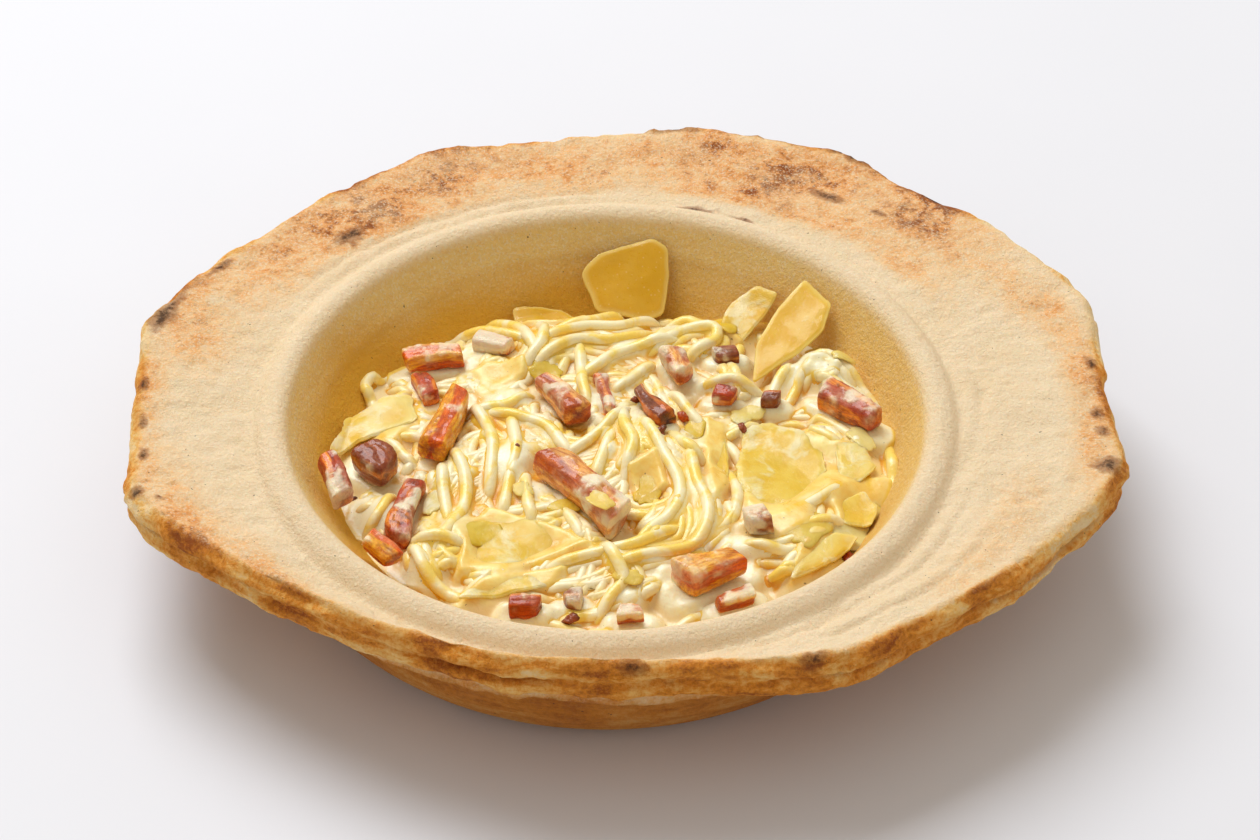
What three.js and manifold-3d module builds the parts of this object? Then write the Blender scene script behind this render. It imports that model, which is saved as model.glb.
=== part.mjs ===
// Spaghetti carbonara served in an edible bowl of baked dough. The bowl has a deep round well, a
// smooth raised lip and a wide uneven rim. A heap of spaghetti fills the well, and bacon lardons and
// Parmesan shavings lie on the heap. Units are millimetres, +Z is up, and the origin is the centre of
// the flat base.

import * as THREE from 'three';
import { ParametricGeometry } from 'three/addons/geometries/ParametricGeometry.js';
import { mergeVertices } from 'three/addons/utils/BufferGeometryUtils.js';
import Module from 'manifold-3d';

const wasm = await Module();
wasm.setup();

// Bowl of baked dough
const floorHeight = 7;
const lipRadius = 73.5;
const lipHeight = 36;
const wallTop = 35;
const wallRadius = 71;
const wallPower = 5;
const baseRadius = 58;
const rimThickness = 10.5;
const grooveDepth = 3;
const rimRelief = 0.6;
const cornerTension = 0.16;
const cutsPerCorner = 3;
const wallStations = [0, 24, 40, 48, 54, 59, 63.5, 67, 69.6];

// Corners of the rim's outline: azimuth in degrees from +X, radius, height of the top edge
const rimCorners = [
  [-166, 106, 34],
  [-157, 101, 35],
  [-143, 92, 36],
  [-124, 86.5, 37],
  [-104, 84.5, 37],
  [-84, 84.5, 37],
  [-70, 88, 36.5],
  [-58, 95, 36.5],
  [-45, 97, 37],
  [-30, 103, 36],
  [-18, 110, 35.5],
  [-9, 114.5, 35],
  [6, 112.5, 35],
  [20, 117.5, 35],
  [37, 115, 34.5],
  [60, 114.5, 33.5],
  [80, 111.5, 34],
  [97, 107.5, 33.5],
  [114, 108.5, 34],
  [133, 106.5, 34],
  [149, 107, 34.5],
  [164, 110, 35.5],
  [179, 105, 34],
];

// Heap of spaghetti
const heapLevel = 20.5;
const heapCrown = 2;
const heapTilt = 0.04;
const heapReach = 66;
const farDrop = 6;
const farDropStart = 30;
const farDropEnd = 62;
const heapRings = 9;
const heapSpokes = 36;
const clearance = 0.45;
const noodleRadius = 1.3;
const noodleSides = 6;
const noodleSink = 0.4;
const noodleStep = 2.5;
const noodleMargin = 0.35;
const shortestNoodle = 7.5;
const scatteredNoodles = 36;
const scatteredTries = 900;
const scatteredLength = 38;
const scatteredSpacing = 3;
const scatteredReach = 61;

// Strands that stand out from the heap: how high the middle rises, and the route seen from above
const mainStrands = [
  { rise: 5, route: [[-54, 22], [-55.5, 25], [-54.5, 28.5], [-52, 29.5], [-50, 27.5], [-49, 24]] },
  { rise: 1.8, route: [[-23, 7], [-27, 8], [-32, 6], [-35, 1], [-36, -5], [-36, -13], [-35, -20]] },
  { rise: 1.6, route: [[-37, -19], [-40, -25], [-41, -31], [-40, -37], [-37, -42], [-33, -45]] },
  { rise: 1.4, route: [[-21, 6], [-20, -2], [-21, -9], [-22, -17]] },
  { rise: 1.6, route: [[-12, -45], [-11, -40], [-6, -38], [0, -37], [6, -36], [11, -33]] },
  { rise: 1.2, route: [[-13, -46], [-11, -52], [-7, -54], [-1, -54], [2, -49]] },
  { rise: 2.6, route: [[10, 0], [13, -8], [16, -16], [16, -22], [13, -28], [7, -32], [0, -34]] },
  { rise: 2.2, route: [[19, -9], [20, -16], [22, -22], [22, -29], [19, -35], [13, -38], [6, -40]] },
  { rise: 1.8, route: [[4, 11], [4, 3], [6, -4], [3, -12], [0, -16]] },
  { rise: 2.0, route: [[-12, 31], [-7, 35], [1, 36], [8, 39], [13, 44], [19, 46], [22, 42]] },
  { rise: 1.4, route: [[-11, 38], [-5, 42], [3, 43], [8, 47]] },
  { rise: 2.0, route: [[12, 34], [19, 40], [25, 40], [25, 36], [21, 32]] },
  { rise: 1.8, route: [[42, 18], [45, 24], [49, 28], [55, 24], [60, 17]] },
  { rise: 1.6, route: [[43, 9], [48, 11], [53, 7], [57, 2], [60, -2]] },
  { rise: 1.2, route: [[61, 6], [63, -1], [63.5, -9], [63, -18], [60, -27]] },
  { rise: 1.4, route: [[36, -45], [40, -44], [47, -41], [53, -36], [57, -31]] },
  { rise: 1.0, route: [[2, -40], [4, -45], [2, -48], [-3, -50]] },
];

// Bacon: the two ends of each lardon seen from above, its width, its height and its sideways bend
const lardons = [
  { ends: [[-62, -10], [-57, -23.5]], width: 5.5, height: 5.5, bend: 0.6 },
  { ends: [[-54.2, -2.4], [-47.3, -9.6]], width: 9.5, height: 8.5, bend: 0 },
  { ends: [[-41.6, -12], [-45.2, -31]], width: 6, height: 6, bend: -1.2 },
  { ends: [[-51.5, -33], [-45, -38.5]], width: 5, height: 4.5, bend: 0 },
  { ends: [[-33.2, 18], [-39.2, -3.4]], width: 7, height: 7, bend: 0.7 },
  { ends: [[-47, 31.8], [-32.8, 31.2]], width: 6, height: 5.5, bend: 0.8 },
  { ends: [[-43.3, 26], [-39.8, 16.4]], width: 5, height: 5, bend: 0.5 },
  { ends: [[-30.5, 38.5], [-22, 33.5]], width: 5, height: 5, bend: 0 },
  { ends: [[-15.2, 20.7], [-6, 7.5]], width: 6.2, height: 6, bend: 0.6 },
  { ends: [[-1.5, 22.9], [0.9, 9]], width: 3.4, height: 4, bend: 0 },
  { ends: [[7.3, 17.3], [13.9, 4.8]], width: 5, height: 5, bend: -0.8 },
  { ends: [[14.8, 29.3], [18, 20.5]], width: 7, height: 7, bend: 0 },
  { ends: [[24.3, 28.8], [30.2, 29.8]], width: 4.5, height: 4.5, bend: 0 },
  { ends: [[23.9, 15.4], [29.2, 14.1]], width: 5, height: 5, bend: 0.3 },
  { ends: [[34.8, 13.8], [39.4, 13.6]], width: 4.2, height: 4.5, bend: 0 },
  { ends: [[48.5, 15], [60.5, 3.2]], width: 7.2, height: 6.8, bend: 0.6 },
  { ends: [[-13.8, -6.9], [3.6, -29.2]], width: 8.5, height: 8, bend: 0.8 },
  { ends: [[15.9, -47.6], [29.2, -40.6]], width: 8.2, height: 7.5, bend: 0.5 },
  { ends: [[23.5, -53.2], [31.7, -48.9]], width: 4.6, height: 4.5, bend: 0 },
  { ends: [[-20.6, -52.1], [-13.4, -51.8]], width: 4.8, height: 4.8, bend: 0 },
  { ends: [[-8.9, -49.5], [-4.6, -49.5]], width: 4.5, height: 4, bend: 0 },
  { ends: [[2.5, -55], [8.2, -54.8]], width: 4.8, height: 4.5, bend: 0 },
  { ends: [[30, -29.7], [36, -29.2]], width: 6, height: 6, bend: 0 },
];
const lardonSides = 8;
const lardonChamfer = 13;
const lardonRagged = 0.07;
// Stations along a lardon: place from one end to the other, and share of the full section
const lardonStations = [
  [-1, 0],
  [-1, 0.74],
  [-0.84, 1],
  [-0.3, 1.04],
  [0.3, 0.96],
  [0.84, 1],
  [1, 0.74],
  [1, 0],
];

// Parmesan: outline seen from above; slope of a stiff shaving; stiffness 0 follows the heap
const shavings = [
  {
    corners: [[-6, 59.5], [-2, 64], [10.8, 67], [14, 65], [14.4, 59.5], [13, 51.5], [7.8, 50], [-2.3, 52]],
    stiffness: 1,
    slope: [0, 0.62],
  },
  {
    corners: [[-22.3, 54.5], [-11, 55.2], [-4.8, 49.5], [-11.4, 44.8], [-20.6, 46.5]],
    stiffness: 0.6,
    slope: [0, 0.2],
  },
  {
    corners: [[26.2, 42.3], [28.9, 50.2], [35, 53.5], [39.9, 51], [34.5, 42.8], [31, 37.6]],
    stiffness: 0.8,
    slope: [0.05, 0.3],
  },
  {
    corners: [[46, 49.6], [51.8, 42.2], [49.5, 34.9], [42.9, 28.5], [33.4, 21.8], [34.4, 31.8], [39.6, 42]],
    stiffness: 1,
    slope: [0.06, 0.25],
  },
  {
    corners: [[-62.6, -3.5], [-58.3, 13], [-50.5, 18.4], [-44.5, 19.5], [-43, 9], [-50.2, 7], [-56.1, 4.1]],
    stiffness: 0.3,
    slope: [0, 0],
  },
  {
    corners: [[-30.8, 27.6], [-28, 29.4], [-19, 29], [-18.6, 24], [-25.7, 21.5]],
    stiffness: 0.3,
    slope: [0, 0],
  },
  {
    corners: [
      [31, 4.5], [36.6, 8], [45.3, 2.9], [48.6, -8],
      [46.5, -16.5], [39.5, -23.5], [31, -22], [29, -9],
    ],
    stiffness: 0.2,
    slope: [0, 0],
  },
  {
    corners: [[51, -0.8], [57.5, -2], [59.2, -8.8], [56, -14], [51.2, -12.2]],
    stiffness: 0.3,
    slope: [0, 0],
  },
  {
    corners: [[49.5, -21], [56.5, -16.5], [59.5, -21.5], [57.5, -27.6], [51.6, -26.6]],
    stiffness: 0.7,
    slope: [0, 0],
  },
  {
    corners: [[39.4, -44.5], [42, -36.5], [49.5, -30.8], [54.2, -31.5], [53, -35.5], [47, -40.5]],
    stiffness: 0.5,
    slope: [0, 0.1],
  },
  {
    corners: [[22.6, 8.7], [26.2, 7], [26.6, -2.4], [27, -14.4], [24.4, -19.6], [22.4, -8.1]],
    stiffness: 0.2,
    slope: [0, 0],
  },
  {
    corners: [
      [-31.6, -41], [-29.6, -26.3], [-25.4, -19.8], [-9.9, -28.2],
      [-3.3, -34], [-9.8, -36], [-22.6, -39],
    ],
    stiffness: 0.2,
    slope: [0, 0],
  },
  {
    corners: [[-31.4, -48], [-26.8, -43.8], [-16.2, -40.6], [-8.8, -40.6], [-11.5, -44.6], [-22.1, -47.2]],
    stiffness: 0.3,
    slope: [0, 0],
  },
  {
    corners: [[5, -11], [10.8, -7], [13.4, -16.5], [7.5, -20]],
    stiffness: 0.3,
    slope: [0, 0],
  },
];
const shavingThickness = 1.1;
const shavingWave = 0.35;
const cutsPerSide = 2;

const breadMaterial = new THREE.MeshStandardMaterial({ color: 0xe3bd84, roughness: 0.85, metalness: 0 });
const spaghettiMaterial = new THREE.MeshStandardMaterial({ color: 0xf0dd98, roughness: 0.4, metalness: 0 });
const baconMaterial = new THREE.MeshStandardMaterial({ color: 0xb4532e, roughness: 0.45, metalness: 0 });
const cheeseMaterial = new THREE.MeshStandardMaterial({ color: 0xefdc94, roughness: 0.5, metalness: 0 });

// Seeded random numbers from 0 to 1, the same on each run
function randomFrom(seed) {
  let state = seed;
  return () => {
    state = (state * 1664525 + 1013904223) % 4294967296;
    return state / 4294967296;
  };
}

// Height of the well's inner face above the base: a flat floor that curls up ever more steeply
function wallHeight(radius) {
  return floorHeight + (wallTop - floorHeight) * (radius / wallRadius) ** wallPower;
}

// Height of the bare heap: a low crown that leans up to +X and drops on its far side, with waves over it
function heapHeight(x, y) {
  const crown = heapCrown * (1 - (x * x + y * y) / heapReach ** 2);
  const waves = Math.sin(x / 9 + 0.7) * Math.cos(y / 11 - 0.4) + 0.6 * Math.sin((x + y) / 6.5);
  const drop = farDrop * THREE.MathUtils.smoothstep(y, farDropStart, farDropEnd);
  return heapLevel + heapTilt * x + crown + waves - drop;
}

// Height of what a topping can rest on: the heap, or a little inside the wall where that is higher
function groundHeight(x, y) {
  return Math.max(heapHeight(x, y), wallHeight(Math.hypot(x, y) + clearance));
}

// Leaves only positions, joins shared vertices and drops the triangles that collapse at a pole
function closed(geometry) {
  geometry.deleteAttribute('normal');
  geometry.deleteAttribute('uv');
  const merged = mergeVertices(geometry, 1e-3);
  const corners = merged.index.array;
  const kept = [];
  for (let i = 0; i < corners.length; i += 3) {
    const [a, b, c] = [corners[i], corners[i + 1], corners[i + 2]];
    if (a !== b && b !== c && c !== a) {
      kept.push(a, b, c);
    }
  }
  merged.setIndex(kept);
  merged.computeVertexNormals();
  return merged;
}

function solidFrom(geometry) {
  const merged = closed(geometry);
  return new wasm.Manifold(new wasm.Mesh({
    numProp: 3,
    vertProperties: new Float32Array(merged.attributes.position.array),
    triVerts: new Uint32Array(merged.index.array),
  }));
}

function geometryFrom(solid) {
  const { vertProperties, triVerts } = solid.getMesh();
  const geometry = new THREE.BufferGeometry();
  geometry.setAttribute('position', new THREE.BufferAttribute(vertProperties, 3));
  geometry.setIndex(new THREE.BufferAttribute(triVerts, 1));
  geometry.computeVertexNormals();
  return geometry;
}

// Bread ------------------------------------------------------------------------------------------

const rimCurve = new THREE.CatmullRomCurve3(rimCorners.map(([degrees, radius, height]) => {
  const azimuth = THREE.MathUtils.degToRad(degrees);
  return new THREE.Vector3(radius * Math.cos(azimuth), radius * Math.sin(azimuth), height);
}), true, 'catmullrom', cornerTension);

// Low lumps of the baked crust, from -1 to 1
function crustLumps(azimuth, radius) {
  return 0.6 * Math.sin(9 * azimuth + radius / 5) + 0.4 * Math.sin(17 * azimuth - radius / 7 + 1.3);
}

// One section of the bowl as [radius, height] pairs, from the middle of the floor over the lip and
// the rim, back under the rim and down the outside to the middle of the base
function breadSection(azimuth, edgeRadius, edgeHeight) {
  const lump = rimRelief * crustLumps(azimuth, edgeRadius);
  const edge = edgeRadius + lump;
  const grooveRadius = lipRadius + 5;
  const grooveHeight = Math.min(lipHeight - grooveDepth, edgeHeight - 1);
  const rimTop = [0.12, 0.45, 0.8, 1].map((t) => {
    const radius = THREE.MathUtils.lerp(grooveRadius + 1, edge - 1.8, t);
    const height = THREE.MathUtils.lerp(grooveHeight, edgeHeight, t ** 0.8);
    return [radius, height + rimRelief * t * crustLumps(azimuth, radius)];
  });
  const under = edgeHeight - rimThickness;
  return [
    ...wallStations.map((radius) => [radius, wallHeight(radius)]),
    [lipRadius - 2.2, lipHeight - 0.9],
    [lipRadius, lipHeight],
    [lipRadius + 2.6, lipHeight - 0.8],
    [grooveRadius, grooveHeight],
    ...rimTop,
    [edge - 0.2, edgeHeight - 1.3],
    [edge + 0.6, edgeHeight - 3.2],
    [edge - 0.5, edgeHeight - 5.2 + lump],
    [edge + 0.3, edgeHeight - 7.6],
    [edge - 1.2, under + 0.8],
    [edge - 3.6, under],
    [Math.max(79.5, (edge + 79) / 2), Math.min(under - 0.6, 24)],
    [78.6, 22.5],
    [76.6, 15],
    [73, 8.5],
    [68.2, 3.4],
    [63, 0.7],
    [baseRadius, 0],
    [0, 0],
  ];
}

function breadBowl() {
  const slices = rimCorners.length * cutsPerCorner;
  const sections = [];
  for (let i = 0; i <= slices; i += 1) {
    const edge = rimCurve.getPoint((i % slices) / slices);
    const azimuth = Math.atan2(edge.y, edge.x);
    sections.push({ azimuth, points: breadSection(azimuth, Math.hypot(edge.x, edge.y), edge.z) });
  }
  const stacks = sections[0].points.length - 1;
  const place = (u, v, target) => {
    const { azimuth, points } = sections[Math.round(u * slices)];
    const [radius, height] = points[Math.round(v * stacks)];
    target.set(radius * Math.cos(azimuth), radius * Math.sin(azimuth), height);
  };
  return closed(new ParametricGeometry((u, v, target) => place(1 - u, v, target), slices, stacks));
}

// Bacon ------------------------------------------------------------------------------------------

// Lowest height at which a straight bar of this width clears the ground under it
function restingLift(start, end, width) {
  const side = new THREE.Vector2(end.y - start.y, start.x - end.x).normalize();
  let lift = 0;
  for (let along = -0.1; along <= 1.1; along += 0.1) {
    for (const across of [-0.5, 0, 0.5]) {
      const x = THREE.MathUtils.lerp(start.x, end.x, along) + side.x * across * width;
      const y = THREE.MathUtils.lerp(start.y, end.y, along) + side.y * across * width;
      lift = Math.max(lift, groundHeight(x, y) - THREE.MathUtils.lerp(start.z, end.z, along));
    }
  }
  return lift + clearance;
}

// A bar with a chamfered rectangular section, blunt ends, a slight bend and ragged cut faces
function lardon({ ends, width, height, bend }, seed) {
  const random = randomFrom(seed);
  const [start, end] = ends.map(([x, y]) => new THREE.Vector3(x, y, groundHeight(x, y)));
  const lift = restingLift(start, end, width) + height / 2;
  const middle = start.clone().add(end).multiplyScalar(0.5);
  middle.z += lift;
  const half = end.clone().sub(start).multiplyScalar(0.5);
  const side = new THREE.Vector3(-half.y, half.x, 0).normalize();
  const up = half.clone().cross(side).normalize();
  const ragged = lardonStations.map(() => (
    Array.from({ length: lardonSides }, () => 1 - lardonRagged * random())
  ));
  const stacks = lardonStations.length - 1;
  const place = (u, v, target) => {
    const station = Math.round(v * stacks);
    const corner = Math.round(u * lardonSides) % lardonSides;
    const [along, share] = lardonStations[station];
    const chamfer = corner % 2 ? lardonChamfer : -lardonChamfer;
    const angle = THREE.MathUtils.degToRad(45 + 90 * Math.floor(corner / 2) + chamfer);
    const [cosine, sine] = [Math.cos(angle), Math.sin(angle)];
    const size = share * ragged[station][corner] / (cosine ** 4 + sine ** 4) ** 0.25;
    target.copy(middle);
    target.addScaledVector(half, along);
    target.addScaledVector(side, cosine * size * width / 2 + bend * (1 - along ** 2));
    target.addScaledVector(up, sine * size * height / 2);
  };
  return closed(new ParametricGeometry(place, lardonSides, stacks));
}

// Parmesan ---------------------------------------------------------------------------------------

// Splits each side of an outline into equal parts
function divided(corners, parts) {
  return corners.flatMap((corner, i) => {
    const next = corners[(i + 1) % corners.length];
    return Array.from({ length: parts }, (_, k) => corner.clone().lerp(next, k / parts));
  });
}

// A thin wavy plate. Its two faces have the same triangles, and a band joins them round the edge.
function shaving({ corners, stiffness, slope }, seed) {
  const outline = divided(corners.map(([x, y]) => new THREE.Vector2(x, y)), cutsPerSide);
  if (THREE.ShapeUtils.isClockWise(outline)) {
    outline.reverse();
  }
  const count = outline.length;
  const middle = outline.reduce((sum, p) => sum.add(p), new THREE.Vector2()).divideScalar(count);
  const flat = [middle, ...outline.map((p) => p.clone().lerp(middle, 0.5)), ...outline];
  const level = groundHeight(middle.x, middle.y);
  const heights = flat.map((p) => {
    const tilted = level + slope[0] * (p.x - middle.x) + slope[1] * (p.y - middle.y);
    const wave = shavingWave * Math.sin(p.x / 3.1 + seed) * Math.cos(p.y / 3.7 - seed);
    return THREE.MathUtils.lerp(groundHeight(p.x, p.y), tilted, stiffness) + wave;
  });
  const lift = Math.max(...flat.map((p, i) => groundHeight(p.x, p.y) - heights[i])) + clearance;
  const positions = [shavingThickness + lift, lift].flatMap((offset) => (
    flat.flatMap((p, i) => [p.x, p.y, heights[i] + offset])
  ));
  const under = flat.length;
  const index = [];
  for (let i = 0; i < count; i += 1) {
    const j = (i + 1) % count;
    const [inner, nextInner, outer, nextOuter] = [1 + i, 1 + j, 1 + count + i, 1 + count + j];
    const facets = [[0, inner, nextInner], [inner, outer, nextOuter], [inner, nextOuter, nextInner]];
    for (const [a, b, c] of facets) {
      index.push(a, b, c, under + a, under + c, under + b);
    }
    index.push(outer, under + outer, under + nextOuter, outer, under + nextOuter, nextOuter);
  }
  const geometry = new THREE.BufferGeometry();
  geometry.setAttribute('position', new THREE.Float32BufferAttribute(positions, 3));
  geometry.setIndex(index);
  geometry.computeVertexNormals();
  return geometry;
}

// Spaghetti --------------------------------------------------------------------------------------

function distanceToSegment(x, y, [ax, ay], [bx, by]) {
  const [dx, dy] = [bx - ax, by - ay];
  const t = THREE.MathUtils.clamp(((x - ax) * dx + (y - ay) * dy) / (dx * dx + dy * dy), 0, 1);
  return Math.hypot(x - ax - t * dx, y - ay - t * dy);
}

function insideOutline(x, y, corners) {
  let inside = false;
  corners.forEach(([ax, ay], i) => {
    const [bx, by] = corners[(i + 1) % corners.length];
    if ((ay > y) !== (by > y) && x < ax + ((y - ay) / (by - ay)) * (bx - ax)) {
      inside = !inside;
    }
  });
  return inside;
}

// How far a strand stands above the heap at this share of its length
function archHeight(share, rise) {
  return rise * Math.max(0, Math.sin(Math.PI * share)) ** 0.6;
}

// Whether a strand this far above the heap would run into a topping or the wall
function isBlocked(x, y, above) {
  const margin = noodleRadius + noodleMargin;
  if (wallHeight(Math.hypot(x, y) + margin) > heapHeight(x, y) + above + margin) {
    return true;
  }
  if (lardons.some(({ ends, width }) => distanceToSegment(x, y, ...ends) < width / 2 + margin + 0.6)) {
    return true;
  }
  return shavings.some(({ corners }) => insideOutline(x, y, corners) || corners.some((corner, i) => (
    distanceToSegment(x, y, corner, corners[(i + 1) % corners.length]) < margin
  )));
}

// The longest stretch of a route that is clear, as evenly spaced points
function clearStretch(route, rise) {
  const curve = new THREE.CatmullRomCurve3(route.map(([x, y]) => new THREE.Vector3(x, y, 0)));
  const points = curve.getSpacedPoints(Math.ceil(curve.getLength() / noodleStep));
  let best = [];
  let current = [];
  points.forEach((point, i) => {
    const above = archHeight(i / (points.length - 1), rise);
    current = isBlocked(point.x, point.y, above) ? [] : [...current, point];
    best = current.length > best.length ? current : best;
  });
  return best;
}

// A strand that lies half sunk in the heap, with its middle raised and its ends dipping in
function strand(points, rise) {
  const last = points.length - 1;
  const raised = points.map(({ x, y }, i) => (
    new THREE.Vector3(x, y, heapHeight(x, y) + archHeight(i / last, rise) - noodleSink)
  ));
  const section = new THREE.Shape(Array.from({ length: noodleSides }, (_, i) => {
    const angle = 2 * Math.PI * (i + 0.5) / noodleSides;
    return new THREE.Vector2(noodleRadius * Math.cos(angle), noodleRadius * Math.sin(angle));
  }));
  const path = new THREE.CatmullRomCurve3(raised);
  return new THREE.ExtrudeGeometry(section, { extrudePath: path, steps: last, bevelEnabled: false });
}

// Curved strands spread over the rest of the heap, each on its own patch
function scatteredRoutes() {
  const random = randomFrom(11);
  const taken = mainStrands.flatMap(({ route, rise }) => clearStretch(route, rise));
  const found = [];
  for (let i = 0; i < scatteredTries && found.length < scatteredNoodles; i += 1) {
    const reach = scatteredReach * Math.sqrt((i + 0.5) / scatteredTries);
    const around = i * Math.PI * (3 - Math.sqrt(5));
    const [x, y] = [reach * Math.cos(around), reach * Math.sin(around)];
    const [heading, curl] = [2 * Math.PI * random(), 0.5 + 1.6 * random()];
    const route = [-0.5, -0.25, 0, 0.25, 0.5].map((t) => {
      const turned = heading + curl * t;
      return [x + scatteredLength * t * Math.cos(turned), y + scatteredLength * t * Math.sin(turned)];
    });
    const points = clearStretch(route, 0);
    const crowded = points.some((p) => taken.some((other) => p.distanceTo(other) < scatteredSpacing));
    if (!crowded && (points.length - 1) * noodleStep >= shortestNoodle) {
      taken.push(...points);
      found.push(points);
    }
  }
  return found;
}

// The space inside the well, a little clear of its wall
function wellSpace() {
  const inset = wallStations.map((radius) => {
    const slope = wallPower * (wallHeight(radius) - floorHeight) / Math.max(radius, 1);
    const length = Math.hypot(1, slope);
    return new THREE.Vector2(
      Math.max(0, radius - clearance * slope / length),
      wallHeight(radius) + clearance / length,
    );
  });
  inset.push(new THREE.Vector2(0, inset.at(-1).y));
  return solidFrom(new THREE.LatheGeometry(inset, heapSpokes).rotateX(Math.PI / 2));
}

// The bare heap before it is cut to the well: its top surface over a flat underside
function heapBlock() {
  const stacks = heapRings + 2;
  const place = (u, v, target) => {
    const ring = Math.round(v * stacks);
    const around = -2 * Math.PI * u;
    const radius = ring > heapRings + 1 ? 0 : 72 * Math.min(ring, heapRings) / heapRings;
    const [x, y] = [radius * Math.cos(around), radius * Math.sin(around)];
    target.set(x, y, ring > heapRings ? 0 : heapHeight(x, y));
  };
  return solidFrom(new ParametricGeometry(place, heapSpokes, stacks));
}

function spaghetti() {
  const main = mainStrands.map(({ route, rise }) => [clearStretch(route, rise), rise]);
  const scattered = scatteredRoutes().map((points, i) => [points, 0.7 + 0.3 * (i % 3)]);
  let heap = heapBlock();
  for (const [points, rise] of [...main, ...scattered]) {
    if ((points.length - 1) * noodleStep >= shortestNoodle) {
      heap = heap.add(solidFrom(strand(points, rise)));
    }
  }
  const pieces = heap.intersect(wellSpace()).decompose();
  pieces.sort((a, b) => b.volume() - a.volume());
  return geometryFrom(pieces[0]);
}

// Assembly ---------------------------------------------------------------------------------------

function named(name, geometry, material) {
  const mesh = new THREE.Mesh(geometry, material);
  mesh.name = name;
  return mesh;
}

function numbered(word, i) {
  return `${word}_${String(i + 1).padStart(2, '0')}`;
}

const carbonara = new THREE.Group();
carbonara.add(named('bread_bowl', breadBowl(), breadMaterial));
carbonara.add(named('spaghetti', spaghetti(), spaghettiMaterial));
lardons.forEach((piece, i) => {
  carbonara.add(named(numbered('bacon', i), lardon(piece, i + 1), baconMaterial));
});
shavings.forEach((piece, i) => {
  carbonara.add(named(numbered('parmesan', i), shaving(piece, i + 1), cheeseMaterial));
});

export default carbonara;
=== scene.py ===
import math

import bpy
import numpy as np
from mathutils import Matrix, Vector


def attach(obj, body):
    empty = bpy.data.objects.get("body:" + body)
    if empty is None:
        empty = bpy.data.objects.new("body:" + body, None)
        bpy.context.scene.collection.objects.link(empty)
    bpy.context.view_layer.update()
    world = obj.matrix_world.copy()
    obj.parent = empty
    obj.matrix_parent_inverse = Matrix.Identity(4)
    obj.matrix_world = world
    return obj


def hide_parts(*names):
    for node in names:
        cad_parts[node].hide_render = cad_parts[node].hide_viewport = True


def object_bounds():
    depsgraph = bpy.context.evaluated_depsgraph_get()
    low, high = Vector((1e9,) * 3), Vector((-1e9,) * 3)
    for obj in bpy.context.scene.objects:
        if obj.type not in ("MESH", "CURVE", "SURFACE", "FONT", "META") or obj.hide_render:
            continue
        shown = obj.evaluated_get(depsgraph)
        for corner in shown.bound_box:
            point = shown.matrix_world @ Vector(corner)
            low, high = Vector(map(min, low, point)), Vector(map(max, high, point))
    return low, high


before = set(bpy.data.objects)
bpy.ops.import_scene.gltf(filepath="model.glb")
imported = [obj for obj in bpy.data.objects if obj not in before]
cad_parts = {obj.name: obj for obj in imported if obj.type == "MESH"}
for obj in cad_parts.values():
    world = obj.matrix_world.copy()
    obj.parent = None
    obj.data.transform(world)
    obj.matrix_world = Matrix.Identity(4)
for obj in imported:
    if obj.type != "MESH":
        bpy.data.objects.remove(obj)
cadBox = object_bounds()
print("frame loaded")

# All shapes below are worked out in millimetres and put into their meshes in metres.
metre = 0.001


def smoothStep(value, low, high):  # 0 below low, 1 above high, and 3tt - 2ttt between them
    t = np.clip((value - low) / (high - low), 0, 1)
    return t * t * (3 - 2 * t)


def latticeNoise(x, y, z, size, seed=0):
    # random values from -1 to 1 at the corners of a cubic lattice, blended smoothly between them
    x, y, z = np.broadcast_arrays(*[np.asarray(c, float) for c in (x, y, z)])
    parts, cells = [], []
    for c, shift in ((x, 17.3), (y, 41.9), (z, 83.1)):
        scaled = c / size + shift * (seed + 1)
        cells.append(np.floor(scaled).astype(np.int64))
        t = scaled - np.floor(scaled)
        parts.append(t * t * t * (t * (t * 6 - 15) + 10))
    total = np.zeros(x.shape)
    for corner in range(8):
        weight = np.ones(x.shape)
        code = np.full(x.shape, 1013 * (seed + 1), np.int64)
        for axis, prime in enumerate((73856093, 19349663, 83492791)):
            step = corner >> axis & 1
            code = code ^ ((cells[axis] + step) * prime & 0x7FFFFFFF)
            weight = weight * (parts[axis] if step else 1 - parts[axis])
        code = (code ^ (code >> 13)) * 1274126177 & 0x7FFFFFFF
        code = (code ^ (code >> 15)) * 1103515245 & 0x7FFFFFFF
        total += weight * ((code >> 7 & 0xFFFF) / 32767.5 - 1)
    return total


def layeredNoise(x, y, z, size, layers, seed=0):
    # a sum of lattice noises, each half as large and half as strong as the last
    total, strength, reach = 0, 1, 0
    for layer in range(layers):
        total = total + strength * latticeNoise(x, y, z, size / 2**layer, seed + 11 * layer)
        reach += strength
        strength /= 2
    return total / reach


def hermite(t, a, slopeA, b, slopeB):  # cubic from a to b that leaves and arrives with the given slopes
    return (
        (2 * t**3 - 3 * t**2 + 1) * a + (t**3 - 2 * t**2 + t) * slopeA
        + (3 * t**2 - 2 * t**3) * b + (t**3 - t**2) * slopeB
    )


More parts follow.
